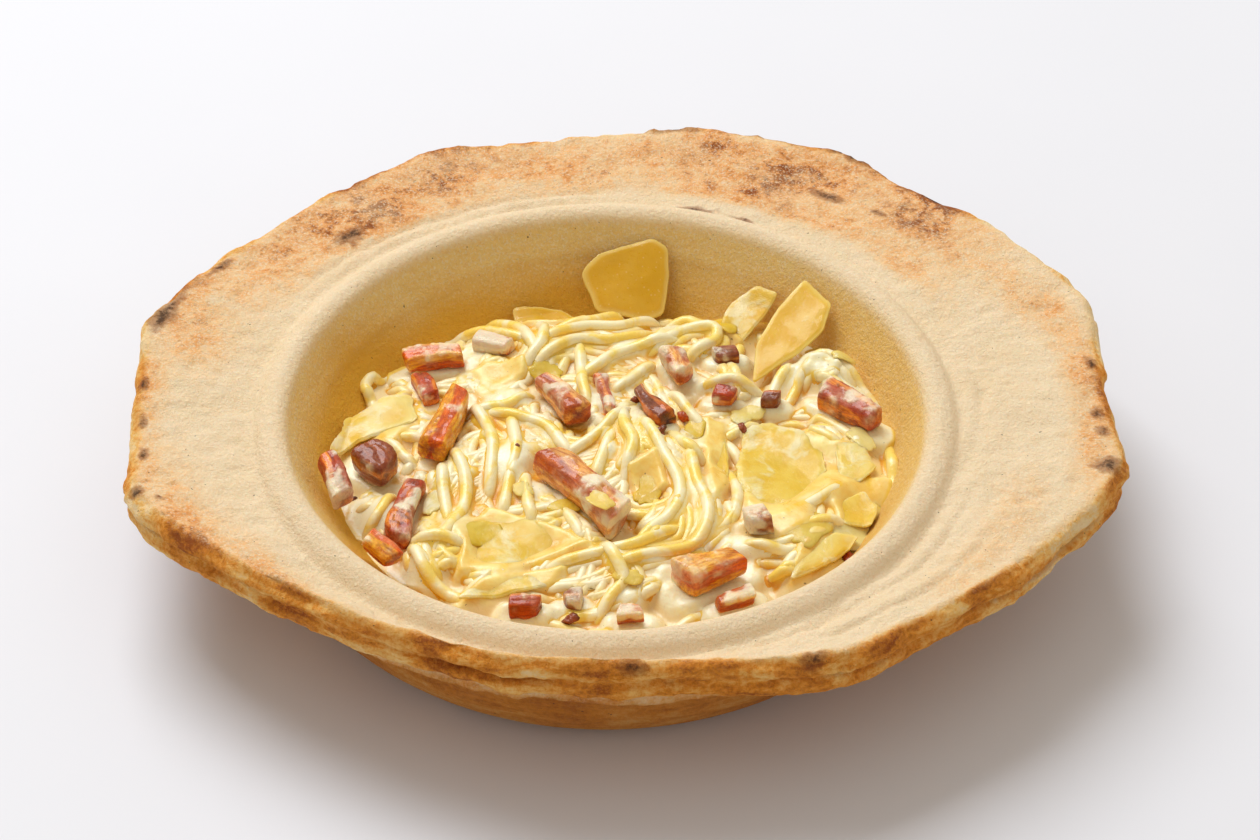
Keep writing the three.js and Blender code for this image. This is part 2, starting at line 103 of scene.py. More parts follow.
def smoothThrough(points, cuts):
    # centripetal spline through points[station, ..., axis], with cuts[i] steps on stretch i
    points = np.asarray(points, float)
    cuts = [cuts] * (len(points) - 1) if isinstance(cuts, int) else cuts
    padded = np.concatenate([2 * points[:1] - points[1:2], points, 2 * points[-1:] - points[-2:-1]])
    gaps = np.maximum(np.linalg.norm(np.diff(padded, axis=0), axis=-1, keepdims=True), 1e-4) ** 0.5
    rows = []
    for i, steps in enumerate(cuts):
        p0, p1, p2, p3 = padded[i : i + 4]
        d0, d1, d2 = gaps[i : i + 3]
        slopeIn = ((p1 - p0) / d0 - (p2 - p0) / (d0 + d1) + (p2 - p1) / d1) * d1
        slopeOut = ((p2 - p1) / d1 - (p3 - p1) / (d1 + d2) + (p3 - p2) / d2) * d1
        t = (np.arange(steps) / steps).reshape([-1] + [1] * (points.ndim - 1))
        rows.append(hermite(t, p1, slopeIn, p2, slopeOut))
    return np.concatenate(rows + [points[-1:]])


def evenlySpaced(route, gap):  # the same line with its points the same distance apart
    length = np.concatenate([[0], np.cumsum(np.linalg.norm(np.diff(route, axis=0), axis=1))])
    wanted = np.linspace(0, length[-1], max(3, int(round(length[-1] / gap)) + 1))
    return np.stack([np.interp(wanted, length, route[:, k]) for k in range(route.shape[1])], -1)


def ringQuads(rows, columns, start, inward):  # quads of a grid whose columns close into a ring
    i, j = np.meshgrid(np.arange(rows - 1) * columns, np.arange(columns), indexing="ij")
    i, j = start + i.ravel(), j.ravel()
    k = (j + 1) % columns
    quads = np.stack([i + j, i + k, i + columns + k, i + columns + j], -1)
    return quads[:, ::-1] if inward else quads


def poleTriangles(pole, first, columns, flipped):  # a fan from one point to a ring of the grid
    j = np.arange(columns)
    fan = np.stack([np.full(columns, pole), first + (j + 1) % columns, first + j], -1)
    return fan[:, ::-1] if flipped else fan


def withEnds(grid):  # the values of a grid row by row, then the mean of its first row and of its last
    return np.concatenate([grid.reshape(-1, *grid.shape[2:]), [grid[0].mean(0), grid[-1].mean(0)]])


def closedGrid(rings, start=0, inward=False, poles=None):
    # points and faces of rings [row, column, xyz] closed by a point at each end, numbered from start
    rows, columns = rings.shape[:2]
    total = start + rows * columns
    faces = [
        ringQuads(rows, columns, start, inward),
        poleTriangles(total, start, columns, inward),
        poleTriangles(total + 1, total - columns, columns, not inward),
    ]
    return np.concatenate([rings.reshape(-1, 3), poles]) if poles is not None else withEnds(rings), faces


def joinedGrids(bodies):  # the points and faces of several closed grids, each given as (rings, poles)
    points, faces, start = [], [], 0
    for rings, poles in bodies:
        grid, quads = closedGrid(rings, start, True, poles)
        points.append(grid)
        faces += quads
        start += len(grid)
    return np.concatenate(points), faces


def ringAngles(count):  # equal steps round a full turn
    return 2 * np.pi * np.arange(count) / count


def blended(a, b, share):  # a where share is 0, b where it is 1
    return a * (1 - share) + b * share


def turned(a, b, angle):  # a and b turned about the origin
    return a * math.cos(angle) - b * math.sin(angle), a * math.sin(angle) + b * math.cos(angle)


def makePiece(name, points, faces, finish, stands=(), values=None, colours=None):
    # points in millimetres; faces is a list of index arrays; a value is one number or one for each point
    mesh = bpy.data.meshes.new(name)
    corners = np.concatenate([part.ravel() for part in faces]).astype(np.int32)
    counts = np.concatenate([np.full(len(part), part.shape[1]) for part in faces])
    starts = np.concatenate([[0], np.cumsum(counts)[:-1]]).astype(np.int32)
    mesh.vertices.add(len(points))
    mesh.vertices.foreach_set("co", (np.asarray(points) * metre).astype(np.float32).ravel())
    mesh.loops.add(len(corners))
    mesh.loops.foreach_set("vertex_index", corners)
    mesh.polygons.add(len(counts))
    mesh.polygons.foreach_set("loop_start", starts)
    mesh.update(calc_edges=True)
    mesh.validate()
    mesh.shade_smooth()
    for key, data in (values or {}).items():
        layer = mesh.attributes.new(key, "FLOAT", "POINT")
        data = np.broadcast_to(np.ravel(data), len(points))
        layer.data.foreach_set("value", data.astype(np.float32))
    for key, data in (colours or {}).items():
        data = np.concatenate([data, np.ones((len(data), 1))], 1)
        layer = mesh.attributes.new(key, "FLOAT_COLOR", "POINT")
        layer.data.foreach_set("color", data.astype(np.float32).ravel())
    piece = bpy.data.objects.new(name, mesh)
    bpy.context.scene.collection.objects.link(piece)
    mesh.materials.append(finish)
    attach(piece, "root")
    if stands:
        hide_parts(*stands)
    return piece


def linear(red, green, blue):  # a screen colour from 0 to 255 as light
    c = np.array([red, green, blue]) / 255
    return np.where(c <= 0.04045, c / 12.92, ((c + 0.055) / 1.055) ** 2.4)


class Wire:  # an output socket; sums and products of wires and numbers become Math nodes
    def __init__(self, finish, socket):
        self.finish, self.socket = finish, socket

    def __add__(self, other):
        return self.finish.maths("ADD", self, other)

    def __sub__(self, other):
        return self.finish.maths("SUBTRACT", self, other)

    def __rsub__(self, other):
        return self.finish.maths("SUBTRACT", other, self)

    def __mul__(self, other):
        return self.finish.maths("MULTIPLY", self, other)

    __radd__, __rmul__ = __add__, __mul__


class Finish:  # one material with a Principled shader; node() makes every other node
    def __init__(self, name, **constants):
        self.material = bpy.data.materials.new(name)
        self.material.use_nodes = True
        self.tree = self.material.node_tree
        self.shader = self.tree.nodes["Principled BSDF"]
        for key, value in constants.items():
            self.shader.inputs[key.replace("_", " ")].default_value = value
        self.place = self.node("ShaderNodeTexCoord", output="Object")

    def node(self, kind, settings=None, sockets=None, output=0):
        made = self.tree.nodes.new(kind)
        for key, value in (settings or {}).items():
            if key == "stops":
                ramp = made.color_ramp.elements
                while len(ramp) < len(value):
                    ramp.new(0.5)
                for stop, (at, colour) in zip(ramp, value):
                    stop.position = at
                    stop.color = (*linear(*colour), 1)
            else:
                setattr(made, key, value)
        for key, value in (sockets or {}).items():
            if isinstance(value, Wire):
                self.tree.links.new(value.socket, made.inputs[key])
            else:
                made.inputs[key].default_value = value
        return Wire(self, made.outputs[output])

    def maths(self, operation, a, b):
        return self.node("ShaderNodeMath", {"operation": operation}, {0: a, 1: b})

    def noise(self, size, detail=2.0, rough=0.5, warp=0.0, place=None):  # size in millimetres
        sockets = {"Vector": place or self.place, "Scale": 1000 / size, "Detail": detail}
        return self.node("ShaderNodeTexNoise", {}, {**sockets, "Roughness": rough, "Distortion": warp})

    def cells(self, size):  # distance to the nearest of many scattered points
        return self.node("ShaderNodeTexVoronoi", {}, {"Vector": self.place, "Scale": 1000 / size})

    def value(self, name):
        return self.node("ShaderNodeAttribute", {"attribute_name": name}, output="Fac")

    def colour(self, name):
        return self.node("ShaderNodeAttribute", {"attribute_name": name}, output="Color")

    def between(self, value, low, high):  # smooth step as a Map Range node
        sockets = {"Value": value, "From Min": low, "From Max": high}
        return self.node("ShaderNodeMapRange", {"interpolation_type": "SMOOTHSTEP"}, sockets)

    def ramp(self, value, stops):
        return self.node("ShaderNodeValToRGB", {"stops": stops}, {"Fac": value}, "Color")

    def mix(self, amount, a, b, blend="MIX"):
        a, b = [c if isinstance(c, Wire) else (*linear(*c), 1) for c in (a, b)]
        settings = {"data_type": "RGBA", "blend_type": blend}
        return self.node("ShaderNodeMix", settings, {0: amount, 6: a, 7: b}, 2)

    def bump(self, height, depth):  # depth in millimetres
        sockets = {"Height": height, "Distance": depth * metre, "Strength": 1.0}
        return self.node("ShaderNodeBump", {}, sockets, "Normal")

    def wear(self, colour=None, roughness=None, normal=None, coat=None):
        worn = {"Base Color": colour, "Roughness": roughness, "Normal": normal, "Coat Weight": coat}
        for key, wire in worn.items():
            if wire:
                self.tree.links.new(wire.socket, self.shader.inputs[key])
        return self.material


# the heap: levels shared by the spaghetti, the sauce and the toppings
heap = {
    "level": 20.5,
    "crown": 2,
    "tilt": 0.04,
    "reach": 66,
    "farDrop": 6,
    "farDropStart": 30,
    "farDropEnd": 62,
    "clearance": 0.45,
}


def heapHeight(x, y):  # low crown, leaning up to +X and dropping on the far side, with waves over it
    crown = heap["crown"] * (1 - (x * x + y * y) / heap["reach"] ** 2)
    waves = np.sin(x / 9 + 0.7) * np.cos(y / 11 - 0.4) + 0.6 * np.sin((x + y) / 6.5)
    drop = heap["farDrop"] * smoothStep(y, heap["farDropStart"], heap["farDropEnd"])
    return heap["level"] + heap["tilt"] * x + crown + waves - drop


def groundHeight(x, y):  # the heap, or the wall where that is higher
    return np.maximum(heapHeight(x, y), wallHeight(np.hypot(x, y) + heap["clearance"]))


# the bread bowl
bread = {
    "floorHeight": 7,
    "wallTop": 35,
    "wallRadius": 71,
    "wallPower": 5,
    "lipRadius": 73.5,
    "lipHeight": 36,
    "grooveWidth": 5,
    "grooveDepth": 3,
    "rimThickness": 10.5,
    "rimRelief": 0.6,
    "baseRadius": 58,
    "cornerTension": 0.16,
    "slices": 690,
    # azimuth in degrees from +X, radius and height of the rim's top edge
    "rimCorners": [
        (-166, 106, 34), (-157, 101, 35), (-143, 92, 36), (-124, 86.5, 37), (-104, 84.5, 37),
        (-84, 84.5, 37), (-70, 88, 36.5), (-58, 95, 36.5), (-45, 97, 37), (-30, 103, 36),
        (-18, 110, 35.5), (-9, 114.5, 35), (6, 112.5, 35), (20, 117.5, 35), (37, 115, 34.5),
        (60, 114.5, 33.5), (80, 111.5, 34), (97, 107.5, 33.5), (114, 108.5, 34), (133, 106.5, 34),
        (149, 107, 34.5), (164, 110, 35.5), (179, 105, 34),
    ],
    # stations of the section: radius on the wall, place from the lip, share of the way over the rim, and
    # radius and height of the foot, each followed by the number of cuts up to the next station
    "wallStations": [(0, 2), (24, 2), (40, 2), (48, 3), (54, 4), (59, 4), (63.5, 4), (67, 4), (69.6, 5)],
    "lipStations": [(-2.2, -0.9, 4), (0, 0, 5), (2.6, -0.8, 4)],
    "rimStations": [(0.12, 10), (0.45, 10), (0.8, 6), (1, 4)],
    "footStations": [(78.6, 22.5, 4), (76.6, 15, 4), (73, 8.5, 3), (68.2, 3.4, 3), (63, 0.7, 2)],
    # relief of the crust: strength and size of its lumps
    "swell": (0.75, 21),
    "ripple": (0.42, 6.5),
    "grain": (0.34, 2.9),
    "wrinkle": (1.4, 6),
    "torn": (0.5, 4.6),
    "craterDepth": 1.6,
    "craterSize": 3.4,
    # browned patches: azimuth, radius, half width round the rim, half width across it, strength
    "toasted": [
        (134, 96, 26, 11, 0.95), (108, 97, 24, 11, 0.9), (84, 99, 22, 9, 0.85), (62, 103, 20, 9, 1.05),
        (44, 103, 14, 9, 1.2), (30, 104, 12, 6, 0.6), (163, 97, 9, 10, 0.75), (152, 103, 10, 7, 0.7),
        (10, 108, 16, 5, 0.8), (-4, 108, 12, 5, 0.75), (-22, 95, 8, 6, 0.4), (-34, 93, 8, 5, 0.4),
        (48, 110, 16, 4, 1.2), (-98, 80, 26, 5, 0.42), (176, 103, 12, 5, 0.65), (-170, 102, 10, 5, 0.65),
        (-153, 98, 18, 8, 0.85), (-134, 90, 20, 5.5, 0.88), (-112, 84, 10, 3, 0.6),
    ],
    # scorched spots: azimuth, radius, half width round the rim, half width across it
    "scorched": [
        (133, 89, 3.4, 1.3), (161, 106, 5.5, 1.2), (150, 104, 3, 0.7), (175, 103.5, 1.6, 0.8),
        (-178, 102.5, 0.9, 0.6), (-172, 102, 1.1, 0.6), (-165, 104.5, 1.3, 1), (-163, 100.5, 0.7, 0.5),
        (82, 110.5, 4, 1.8), (71, 112.5, 7, 1.2), (58, 114, 9, 1.2), (57, 97, 2.4, 1), (46, 111.5, 4, 1),
        (49, 98, 1.4, 0.7), (8, 110, 1.6, 0.8), (-1, 108.5, 1.4, 1), (-4, 109, 1.2, 1),
        (-10, 110.5, 1.8, 1.6), (-62, 92, 2, 1), (-86, 84, 2.2, 1), (104, 77, 2, 0.7), (75, 79, 2.6, 0.8),
        (66, 79, 2, 0.7),
    ],
    # folds pressed into the rim: first and last azimuth, radius at each, depth
    "folds": [
        (-78, -16, 80, 83.5, 0.5), (-62, -24, 86, 91.5, 0.5), (-16, 34, 82, 84, 0.4),
        (-170, -112, 98, 82.8, 0.5), (84, 152, 83.5, 83, 0.6),
    ],
}


def wallHeight(radius):  # flat floor that curls up ever more steeply: floor + rise * (r / wallRadius)^power
    rise = bread["wallTop"] - bread["floorHeight"]
    return bread["floorHeight"] + rise * (np.abs(radius) / bread["wallRadius"]) ** bread["wallPower"]


def rimEdge():  # Hermite curve through the corners; slope at a corner = tension * (next corner - last corner)
    degrees, radius, height = np.array(bread["rimCorners"], float).T
    angle = np.radians(degrees)
    corners = np.stack([radius * np.cos(angle), radius * np.sin(angle), height], -1)
    count = len(corners)
    t = np.arange(bread["slices"]) * count / bread["slices"]
    i = np.floor(t).astype(int)
    t = (t - i)[:, None]
    before, a, b, after = [corners[(i + k) % count] for k in (-1, 0, 1, 2)]
    slopeA, slopeB = bread["cornerTension"] * (b - before), bread["cornerTension"] * (after - a)
    return hermite(t, a, slopeA, b, slopeB)


def breadSections():
    # a section at each azimuth as [station, azimuth, (radius, height)], from the floor's middle over the
    # lip and the rim and back underneath to the middle of the base
    edge = rimEdge()
    azimuth = np.arctan2(edge[:, 1], edge[:, 0])
    lumps = lambda r: 0.6 * np.sin(9 * azimuth + r / 5) + 0.4 * np.sin(17 * azimuth - r / 7 + 1.3)
    edgeRadius, edgeHeight = np.hypot(edge[:, 0], edge[:, 1]), edge[:, 2]
    lump = bread["rimRelief"] * lumps(edgeRadius)
    edgeRadius = edgeRadius + lump
    lipRadius, lipHeight = bread["lipRadius"], bread["lipHeight"]
    grooveRadius = lipRadius + bread["grooveWidth"]
    grooveHeight = np.minimum(lipHeight - bread["grooveDepth"], edgeHeight - 1)
    under = edgeHeight - bread["rimThickness"]
    stations = [(r, wallHeight(r), cuts) for r, cuts in bread["wallStations"]]
    stations += [(lipRadius + r, lipHeight + h, cuts) for r, h, cuts in bread["lipStations"]]
    stations.append((grooveRadius, grooveHeight, 5))
    for share, cuts in bread["rimStations"]:
        r = (grooveRadius + 1) * (1 - share) + (edgeRadius - 1.8) * share
        h = grooveHeight + (edgeHeight - grooveHeight) * share**0.8
        stations.append((r, h + bread["rimRelief"] * share * lumps(r), cuts))
    stations += [
        (edgeRadius - 0.2, edgeHeight - 1.3, 4), (edgeRadius + 0.6, edgeHeight - 3.2, 5),
        (edgeRadius - 0.5, edgeHeight - 5.2 + lump, 5), (edgeRadius + 0.3, edgeHeight - 7.6, 4),
        (edgeRadius - 1.2, under + 0.8, 3), (edgeRadius - 3.6, under, 7),
        (np.maximum(79.5, (edgeRadius + 79) / 2), np.minimum(under - 0.6, 24), 5),
        *bread["footStations"], (bread["baseRadius"], 0, 2), (30, 0, 0),
    ]
    whole = np.stack([np.stack(np.broadcast_arrays(r, h, azimuth)[:2], -1) for r, h, cuts in stations])
    return azimuth, edgeRadius, smoothThrough(whole, [cuts for r, h, cuts in stations[:-1]])


def turnedBy(a, b):  # angle from b to a in degrees, between -180 and 180
    return (np.degrees(a) - b + 180) % 360 - 180


def browning(x, y, azimuth, radius, height, edgeRadius, top, rough):
    # soft patches and a band along the far edge, broken up by noise; deeper on the edge's side and the foot,
    # and deeper still on the near part of the side as painted shade
    toast = np.zeros(radius.shape)
    for degrees, r, aroundHalf, acrossHalf, strength in bread["toasted"]:
        around = np.abs(turnedBy(azimuth, degrees)) / aroundHalf
        across = np.abs(radius - r) / acrossHalf
        toast = np.maximum(toast, strength * np.exp(-(around**2.6) - across**2.6))
    farSide = smoothStep(np.degrees(azimuth), 18, 50) * smoothStep(-np.degrees(azimuth), -168, -140)
    band = farSide * smoothStep(radius + 1.5 * rough, 82, 86.5)
    rim = top * smoothStep(radius, 76, 84)
    toast = np.maximum(0.72 * toast, (0.46 + 0.26 * rough) * band) * rim
    side = top * smoothStep(radius - edgeRadius, -3.5, -0.5) * smoothStep(height, 21, 25)
    # painted shade: the edge's side browner towards the near side (azimuth -50), which faces away from the
    # light
    nearSideShade = np.exp(-((turnedBy(azimuth, -50) / 52) ** 2))
    toast = np.clip(toast * (1 + 0.55 * rough) + side * (0.32 + 0.54 * nearSideShade + 0.28 * rough), 0, 1)
    foot = top * (1 - smoothStep(height, 23, 27.5)) * (radius < edgeRadius - 0.4)
    return np.maximum(toast, foot * (0.86 + 0.25 * rough)), rim, side, foot


def scorching(x, y, azimuth, radius, height, edgeRadius, edgeTop):
    # small oval spots with noisy outlines, fading down the edge's side
    scorch = np.zeros(radius.shape)
    warped = 0.9 * layeredNoise(x, y, height, 4.5, 3, 9)
    sunk = np.maximum(0, edgeTop - height) * (radius > edgeRadius - 3) / 2.2
    for degrees, r, aroundHalf, acrossHalf in bread["scorched"]:
        around = np.radians(turnedBy(azimuth, degrees)) * radius / aroundHalf
        distance = np.sqrt(around**2 + ((radius - r) / acrossHalf) ** 2 + sunk**2)
        scorch = np.maximum(scorch, np.exp(-((0.62 * distance * (1 + warped)) ** 2)))
    return scorch


def pressedFolds(azimuth, radius, height, top, rough):  # a groove with a low ridge on its inner side
    relief = np.zeros(radius.shape)
    for first, last, rFirst, rLast, depth in bread["folds"]:
        share = turnedBy(azimuth, first) / (last - first)
        share = np.where(share < -0.2, share + 360 / (last - first), share)
        path = rFirst + (rLast - rFirst) * share + 0.8 * np.sin(np.degrees(azimuth) / 7) + 1.6 * rough
        fade = smoothStep(share, -0.02, 0.18) * smoothStep(-share, -1.02, -0.8) * top * (height > 26)
        fold = radius - path
        crease = 0.75 * np.exp(-(((fold + 2.1) / 1.5) ** 2)) - np.exp(-((fold / 0.75) ** 2))
        relief = relief + fade * depth * (1 + rough) * crease
    return relief


def breadPiece(finish):
    # the sections moved outwards by the crust's relief, with how each point is baked as its values
    azimuth, edgeRadius, sections = breadSections()
    radius, height = sections[..., 0], sections[..., 1]
    azimuth = np.broadcast_to(azimuth, radius.shape)
    x, y = radius * np.cos(azimuth), radius * np.sin(azimuth)
    along = np.gradient(sections, axis=0)
    outward = np.stack([-along[..., 1], along[..., 0]], -1)
    outward /= np.maximum(np.linalg.norm(outward, axis=-1, keepdims=True), 1e-9)
    station = np.arange(len(radius))[:, None]
    lipRow = np.argmax(height[:, 0])
    top = station > lipRow
    edgeTop = height[np.argmax(edgeRadius - radius < 2, axis=0), np.arange(radius.shape[1])]
    rough = layeredNoise(x, y, height, 16, 3, 4)
    toast, rim, side, foot = browning(x, y, azimuth, radius, height, edgeRadius, top, rough)
    scorch = scorching(x, y, azimuth, radius, height, edgeRadius, edgeTop) * top * (1 - foot)

    def lumps(kind, layers, seed):  # strength * noise of the size that the dictionary gives
        strength, size = bread[kind]
        return strength * layeredNoise(x, y, height, size, layers, seed)

    # broad swell, wrinkles and craters, folds, the torn layers of the side, blisters
    swell, grain = lumps("swell", 2, 1) + lumps("ripple", 2, 2), lumps("grain", 2, 3)
    wrinkle = 0.45 - np.abs(lumps("wrinkle", 3, 7))
    craters = np.maximum(0, layeredNoise(x, y, height, bread["craterSize"], 2, 17) - 0.32)
    craters = bread["craterDepth"] * craters * smoothStep(radius, 84, 92)
    swell = swell + 0.35 * wrinkle * np.clip(toast * 1.3, 0, 1) - craters
    outside = np.clip(rim + smoothStep(height, 20, 26) * (radius > 79), 0, 1)
    relief = (swell * 0.8 + grain) * outside + 0.1 * swell + 0.05 * grain
    relief = relief + pressedFolds(azimuth, radius, height, top, rough)
    layers = layeredNoise(x * 0.22, y * 0.22, height, 2.8, 3, 12)
    seam = edgeTop - 5 - 1.6 * layeredNoise(x, y, 0, 22, 2, 15) - height
    opened = smoothStep(layeredNoise(x, y, 0, 30, 2, 19), -0.3, 0.3) * np.exp(-((seam / 0.55) ** 2))
    torn = 0.9 * layers - opened + lumps("torn", 2, 16)
    relief = relief + side * torn + 0.5 * scorch * (0.5 + layeredNoise(x, y, height, 1.8, 2, 6))
    ridge = (station < lipRow) * np.exp(-(((height - 27.5 + 0.8 * np.sin(3 * azimuth)) / 0.7) ** 2))
    relief = (relief + 0.3 * ridge * smoothStep(y, -20, 30)) * smoothStep(height, 0.6, 5)
    sections = sections + outward * relief[..., None]
    radius, height = sections[..., 0], sections[..., 1]

    x, y = radius * np.cos(azimuth), radius * np.sin(azimuth)
    poles = [[0, 0, bread["floorHeight"]], [0, 0, 0]]
    points, faces = closedGrid(np.stack([x, y, height], -1)[1:], inward=True, poles=poles)
    points = np.clip(points, *[np.array(corner) / metre for corner in cadBox])
    inner = (station <= lipRow) * (1 - smoothStep(height, 32.5, 36.2))
    # deep yellow on the wall near the food: partly grease, partly painted shade; up to half less on the
    # right-hand (+X) wall, where painted light falls
    greased = inner * (1 - smoothStep(height - heapHeight(x, y) + 3 * rough, 3, 18))
    greased = greased * (1 - 0.5 * smoothStep(np.cos(azimuth - 0.2) + 0.25 * rough, 0.3, 0.95))
    values = {
        "toast": toast, "scorch": scorch, "inner": inner, "greased": greased, "side": np.maximum(side, foot),
        "seam": side * opened, "foot": foot,
    }
    values = {key: np.append(data[1:], [0, 0]) for key, data in values.items()}
    return makePiece("breadBowl", points, faces, finish, ["bread_bowl"], values)


def bakedDough():
    # cream crumb, turning orange and then brown where the toast value is high, with soft dark scorch
    f = Finish("bakedDough", Subsurface_Weight=0.06, Subsurface_Scale=0.003, Specular_IOR_Level=0.25)
    cloud, mottle = f.noise(13, 3, 0.6), f.noise(3.4, 5, 0.68, 0.3)
    speck, fine = f.noise(1.3, 5, 0.75), f.noise(0.55, 2, 0.6)
    layered = f.node("ShaderNodeVectorMath", {"operation": "MULTIPLY"}, {0: f.place, 1: (0.25, 0.25, 1)})
    layered = f.noise(3.2, 4, 0.65, 0.5, layered)
    toast, side = f.value("toast"), f.value("side")
    baked = toast + (mottle - 0.5) * (toast * 1.7 + 0.4) + (speck - 0.5) * (toast * 0.9 + 0.3)
    stops = [
        (0.0, (253, 229, 190)), (0.24, (253, 217, 168)), (0.45, (255, 203, 142)),
        (0.68, (244, 170, 98)), (0.98, (156, 82, 28)),
    ]
    crust = f.ramp(baked, stops)
    crust = f.mix(f.between(cloud, 0.42, 0.66) * 0.3, crust, (244, 216, 168))
    # the torn side: pale layers and golden brown ones, darker in the open seam and on the foot
    stops = [
        (0.43, (255, 226, 172)), (0.55, (252, 200, 112)), (0.7, (232, 148, 42)),
        (0.9, (160, 80, 10)),
    ]
    flank = f.ramp(layered * 0.8 + (speck - 0.5) * 0.6 + toast * 0.6 - 0.2, stops)
    flank = f.mix(f.value("seam") * 0.45, flank, (150, 76, 14))
    flank = f.mix(f.value("foot") * 0.6, flank, (178, 108, 34))
    crust = f.mix(side * 0.95, crust, flank)
    # the well's wall: even and pale, deep yellow near the food, partly grease and partly painted shade
    wall = f.mix(f.between(mottle, 0.3, 0.75) * 0.5, (250, 212, 126), (254, 228, 160))
    wall = f.mix(f.value("greased"), wall, (232, 170, 18))
    crust = f.mix(f.value("inner") * 0.94, crust, wall)
    pits = (1 - f.between(f.cells(2.1), 0.08, 0.3)) * toast * (1 - side)
    crust = f.mix(pits * 0.6, crust, (160, 98, 46))
    # grain: darker hollows as painted shade, and pale flour
    crust = f.mix((1 - f.between(speck, 0.34, 0.46)) * 0.24, crust, (220, 168, 98), "MULTIPLY")
    floury = f.between(fine, 0.5, 0.66) * (1 - side * 0.95) * (1 - f.value("greased") * 0.95)
    crust = f.mix(floury * 0.5, crust, (255, 241, 212))
    crust = f.mix(f.between(f.noise(0.9, 1), 0.77, 0.81) * 0.8, crust, (70, 48, 34))
    scorch = f.value("scorch") * (mottle * 1.4 + speck * 1.6 - 0.6)
    crust = f.mix(f.between(scorch, 0.12, 0.5) * 0.6, crust, (146, 80, 36))
    crust = f.mix(f.between(scorch, 0.5, 1.0) * 0.85, crust, (56, 38, 28))
    height = f.between(speck, 0.25, 0.75) * 0.7 + fine * 0.35 + mottle * 0.8 - pits * 0.5
    return f.wear(crust, f.between(mottle, 0.2, 0.8) * 0.14 + 0.74, f.bump(height, 0.48))


breadPiece(bakedDough())
print("bread bowl")


def namedRows(names, rows):  # dictionaries from rows that hold their values in the order of the names
    return [dict(zip(names, row)) for row in rows]


# the lardons: both ends, width and height, bend, tone, share of cream, how far the cream leans to the
# second end, how ragged
lardons = namedRows(("ends", "size", "bend", "tone", "cream", "lean", "ragged"), [
    ([(-62, -10), (-57, -23.5)], (5.5, 5.5), 0.6, "red", 0.42, 0.4),
    ([(-54.2, -2.4), (-47.3, -9.6)], (9.5, 8.5), 0, "brown", 0.12),
    ([(-41.6, -12), (-45.2, -31)], (6, 6), -1.2, "red", 0.28, 0.15),
    ([(-51.5, -33), (-45, -38.5)], (5, 4.5), 0, "orange", 0.2),
    ([(-33.2, 18), (-39.2, -3.4)], (7, 7), 0.7, "orange", 0.15, -0.1),
    ([(-47, 31.8), (-32.8, 31.2)], (6, 5.5), 0.8, "orange", 0.42, 0.35),
    ([(-43.3, 26), (-39.8, 16.4)], (5, 5), 0.5, "red", 0.2),
    ([(-30.5, 38.5), (-22, 33.5)], (5, 5), 0, "pink", 0.85),
    ([(-15.2, 20.7), (-6, 7.5)], (6.2, 6), 0.6, "pink", 0.38, -0.35),
    ([(-1.5, 22.9), (0.9, 9)], (3.4, 4), 0, "red", 0.4, -0.2),
    ([(7.3, 17.3), (13.9, 4.8)], (5, 5), -0.8, "charred", 0.12, 0, 2.2),
    ([(14.8, 29.3), (18, 20.5)], (7, 7), 0, "pink", 0.6, -0.2),
    ([(24.3, 28.8), (30.2, 29.8)], (4.5, 4.5), 0, "brown", 0.5),
    ([(23.9, 15.4), (29.2, 14.1)], (5, 5), 0.3, "red", 0.25),
    ([(34.8, 13.8), (39.4, 13.6)], (4.2, 4.5), 0, "charred", 0.3),
    ([(48.5, 15), (60.5, 3.2)], (7.2, 6.8), 0.6, "red", 0.52, 0.1),
    ([(-13.8, -6.9), (3.6, -29.2)], (8.5, 8), 0.8, "pink", 0.3, 0.28),
    ([(15.9, -47.6), (29.2, -40.6)], (8.2, 7.5), 0.5, "orange", 0.3, -0.45),
    ([(23.5, -53.2), (31.7, -48.9)], (4.6, 4.5), 0, "pink", 0.4),
    ([(-20.6, -52.1), (-13.4, -51.8)], (4.8, 4.8), 0, "red", 0.3),
    ([(-8.9, -49.5), (-4.6, -49.5)], (4.5, 4), 0, "brown", 0.4),
    ([(2.5, -55), (8.2, -54.8)], (4.8, 4.5), 0, "pink", 0.45),
    ([(30, -29.7), (36, -29.2)], (6, 6), 0, "brown", 0.8),
])

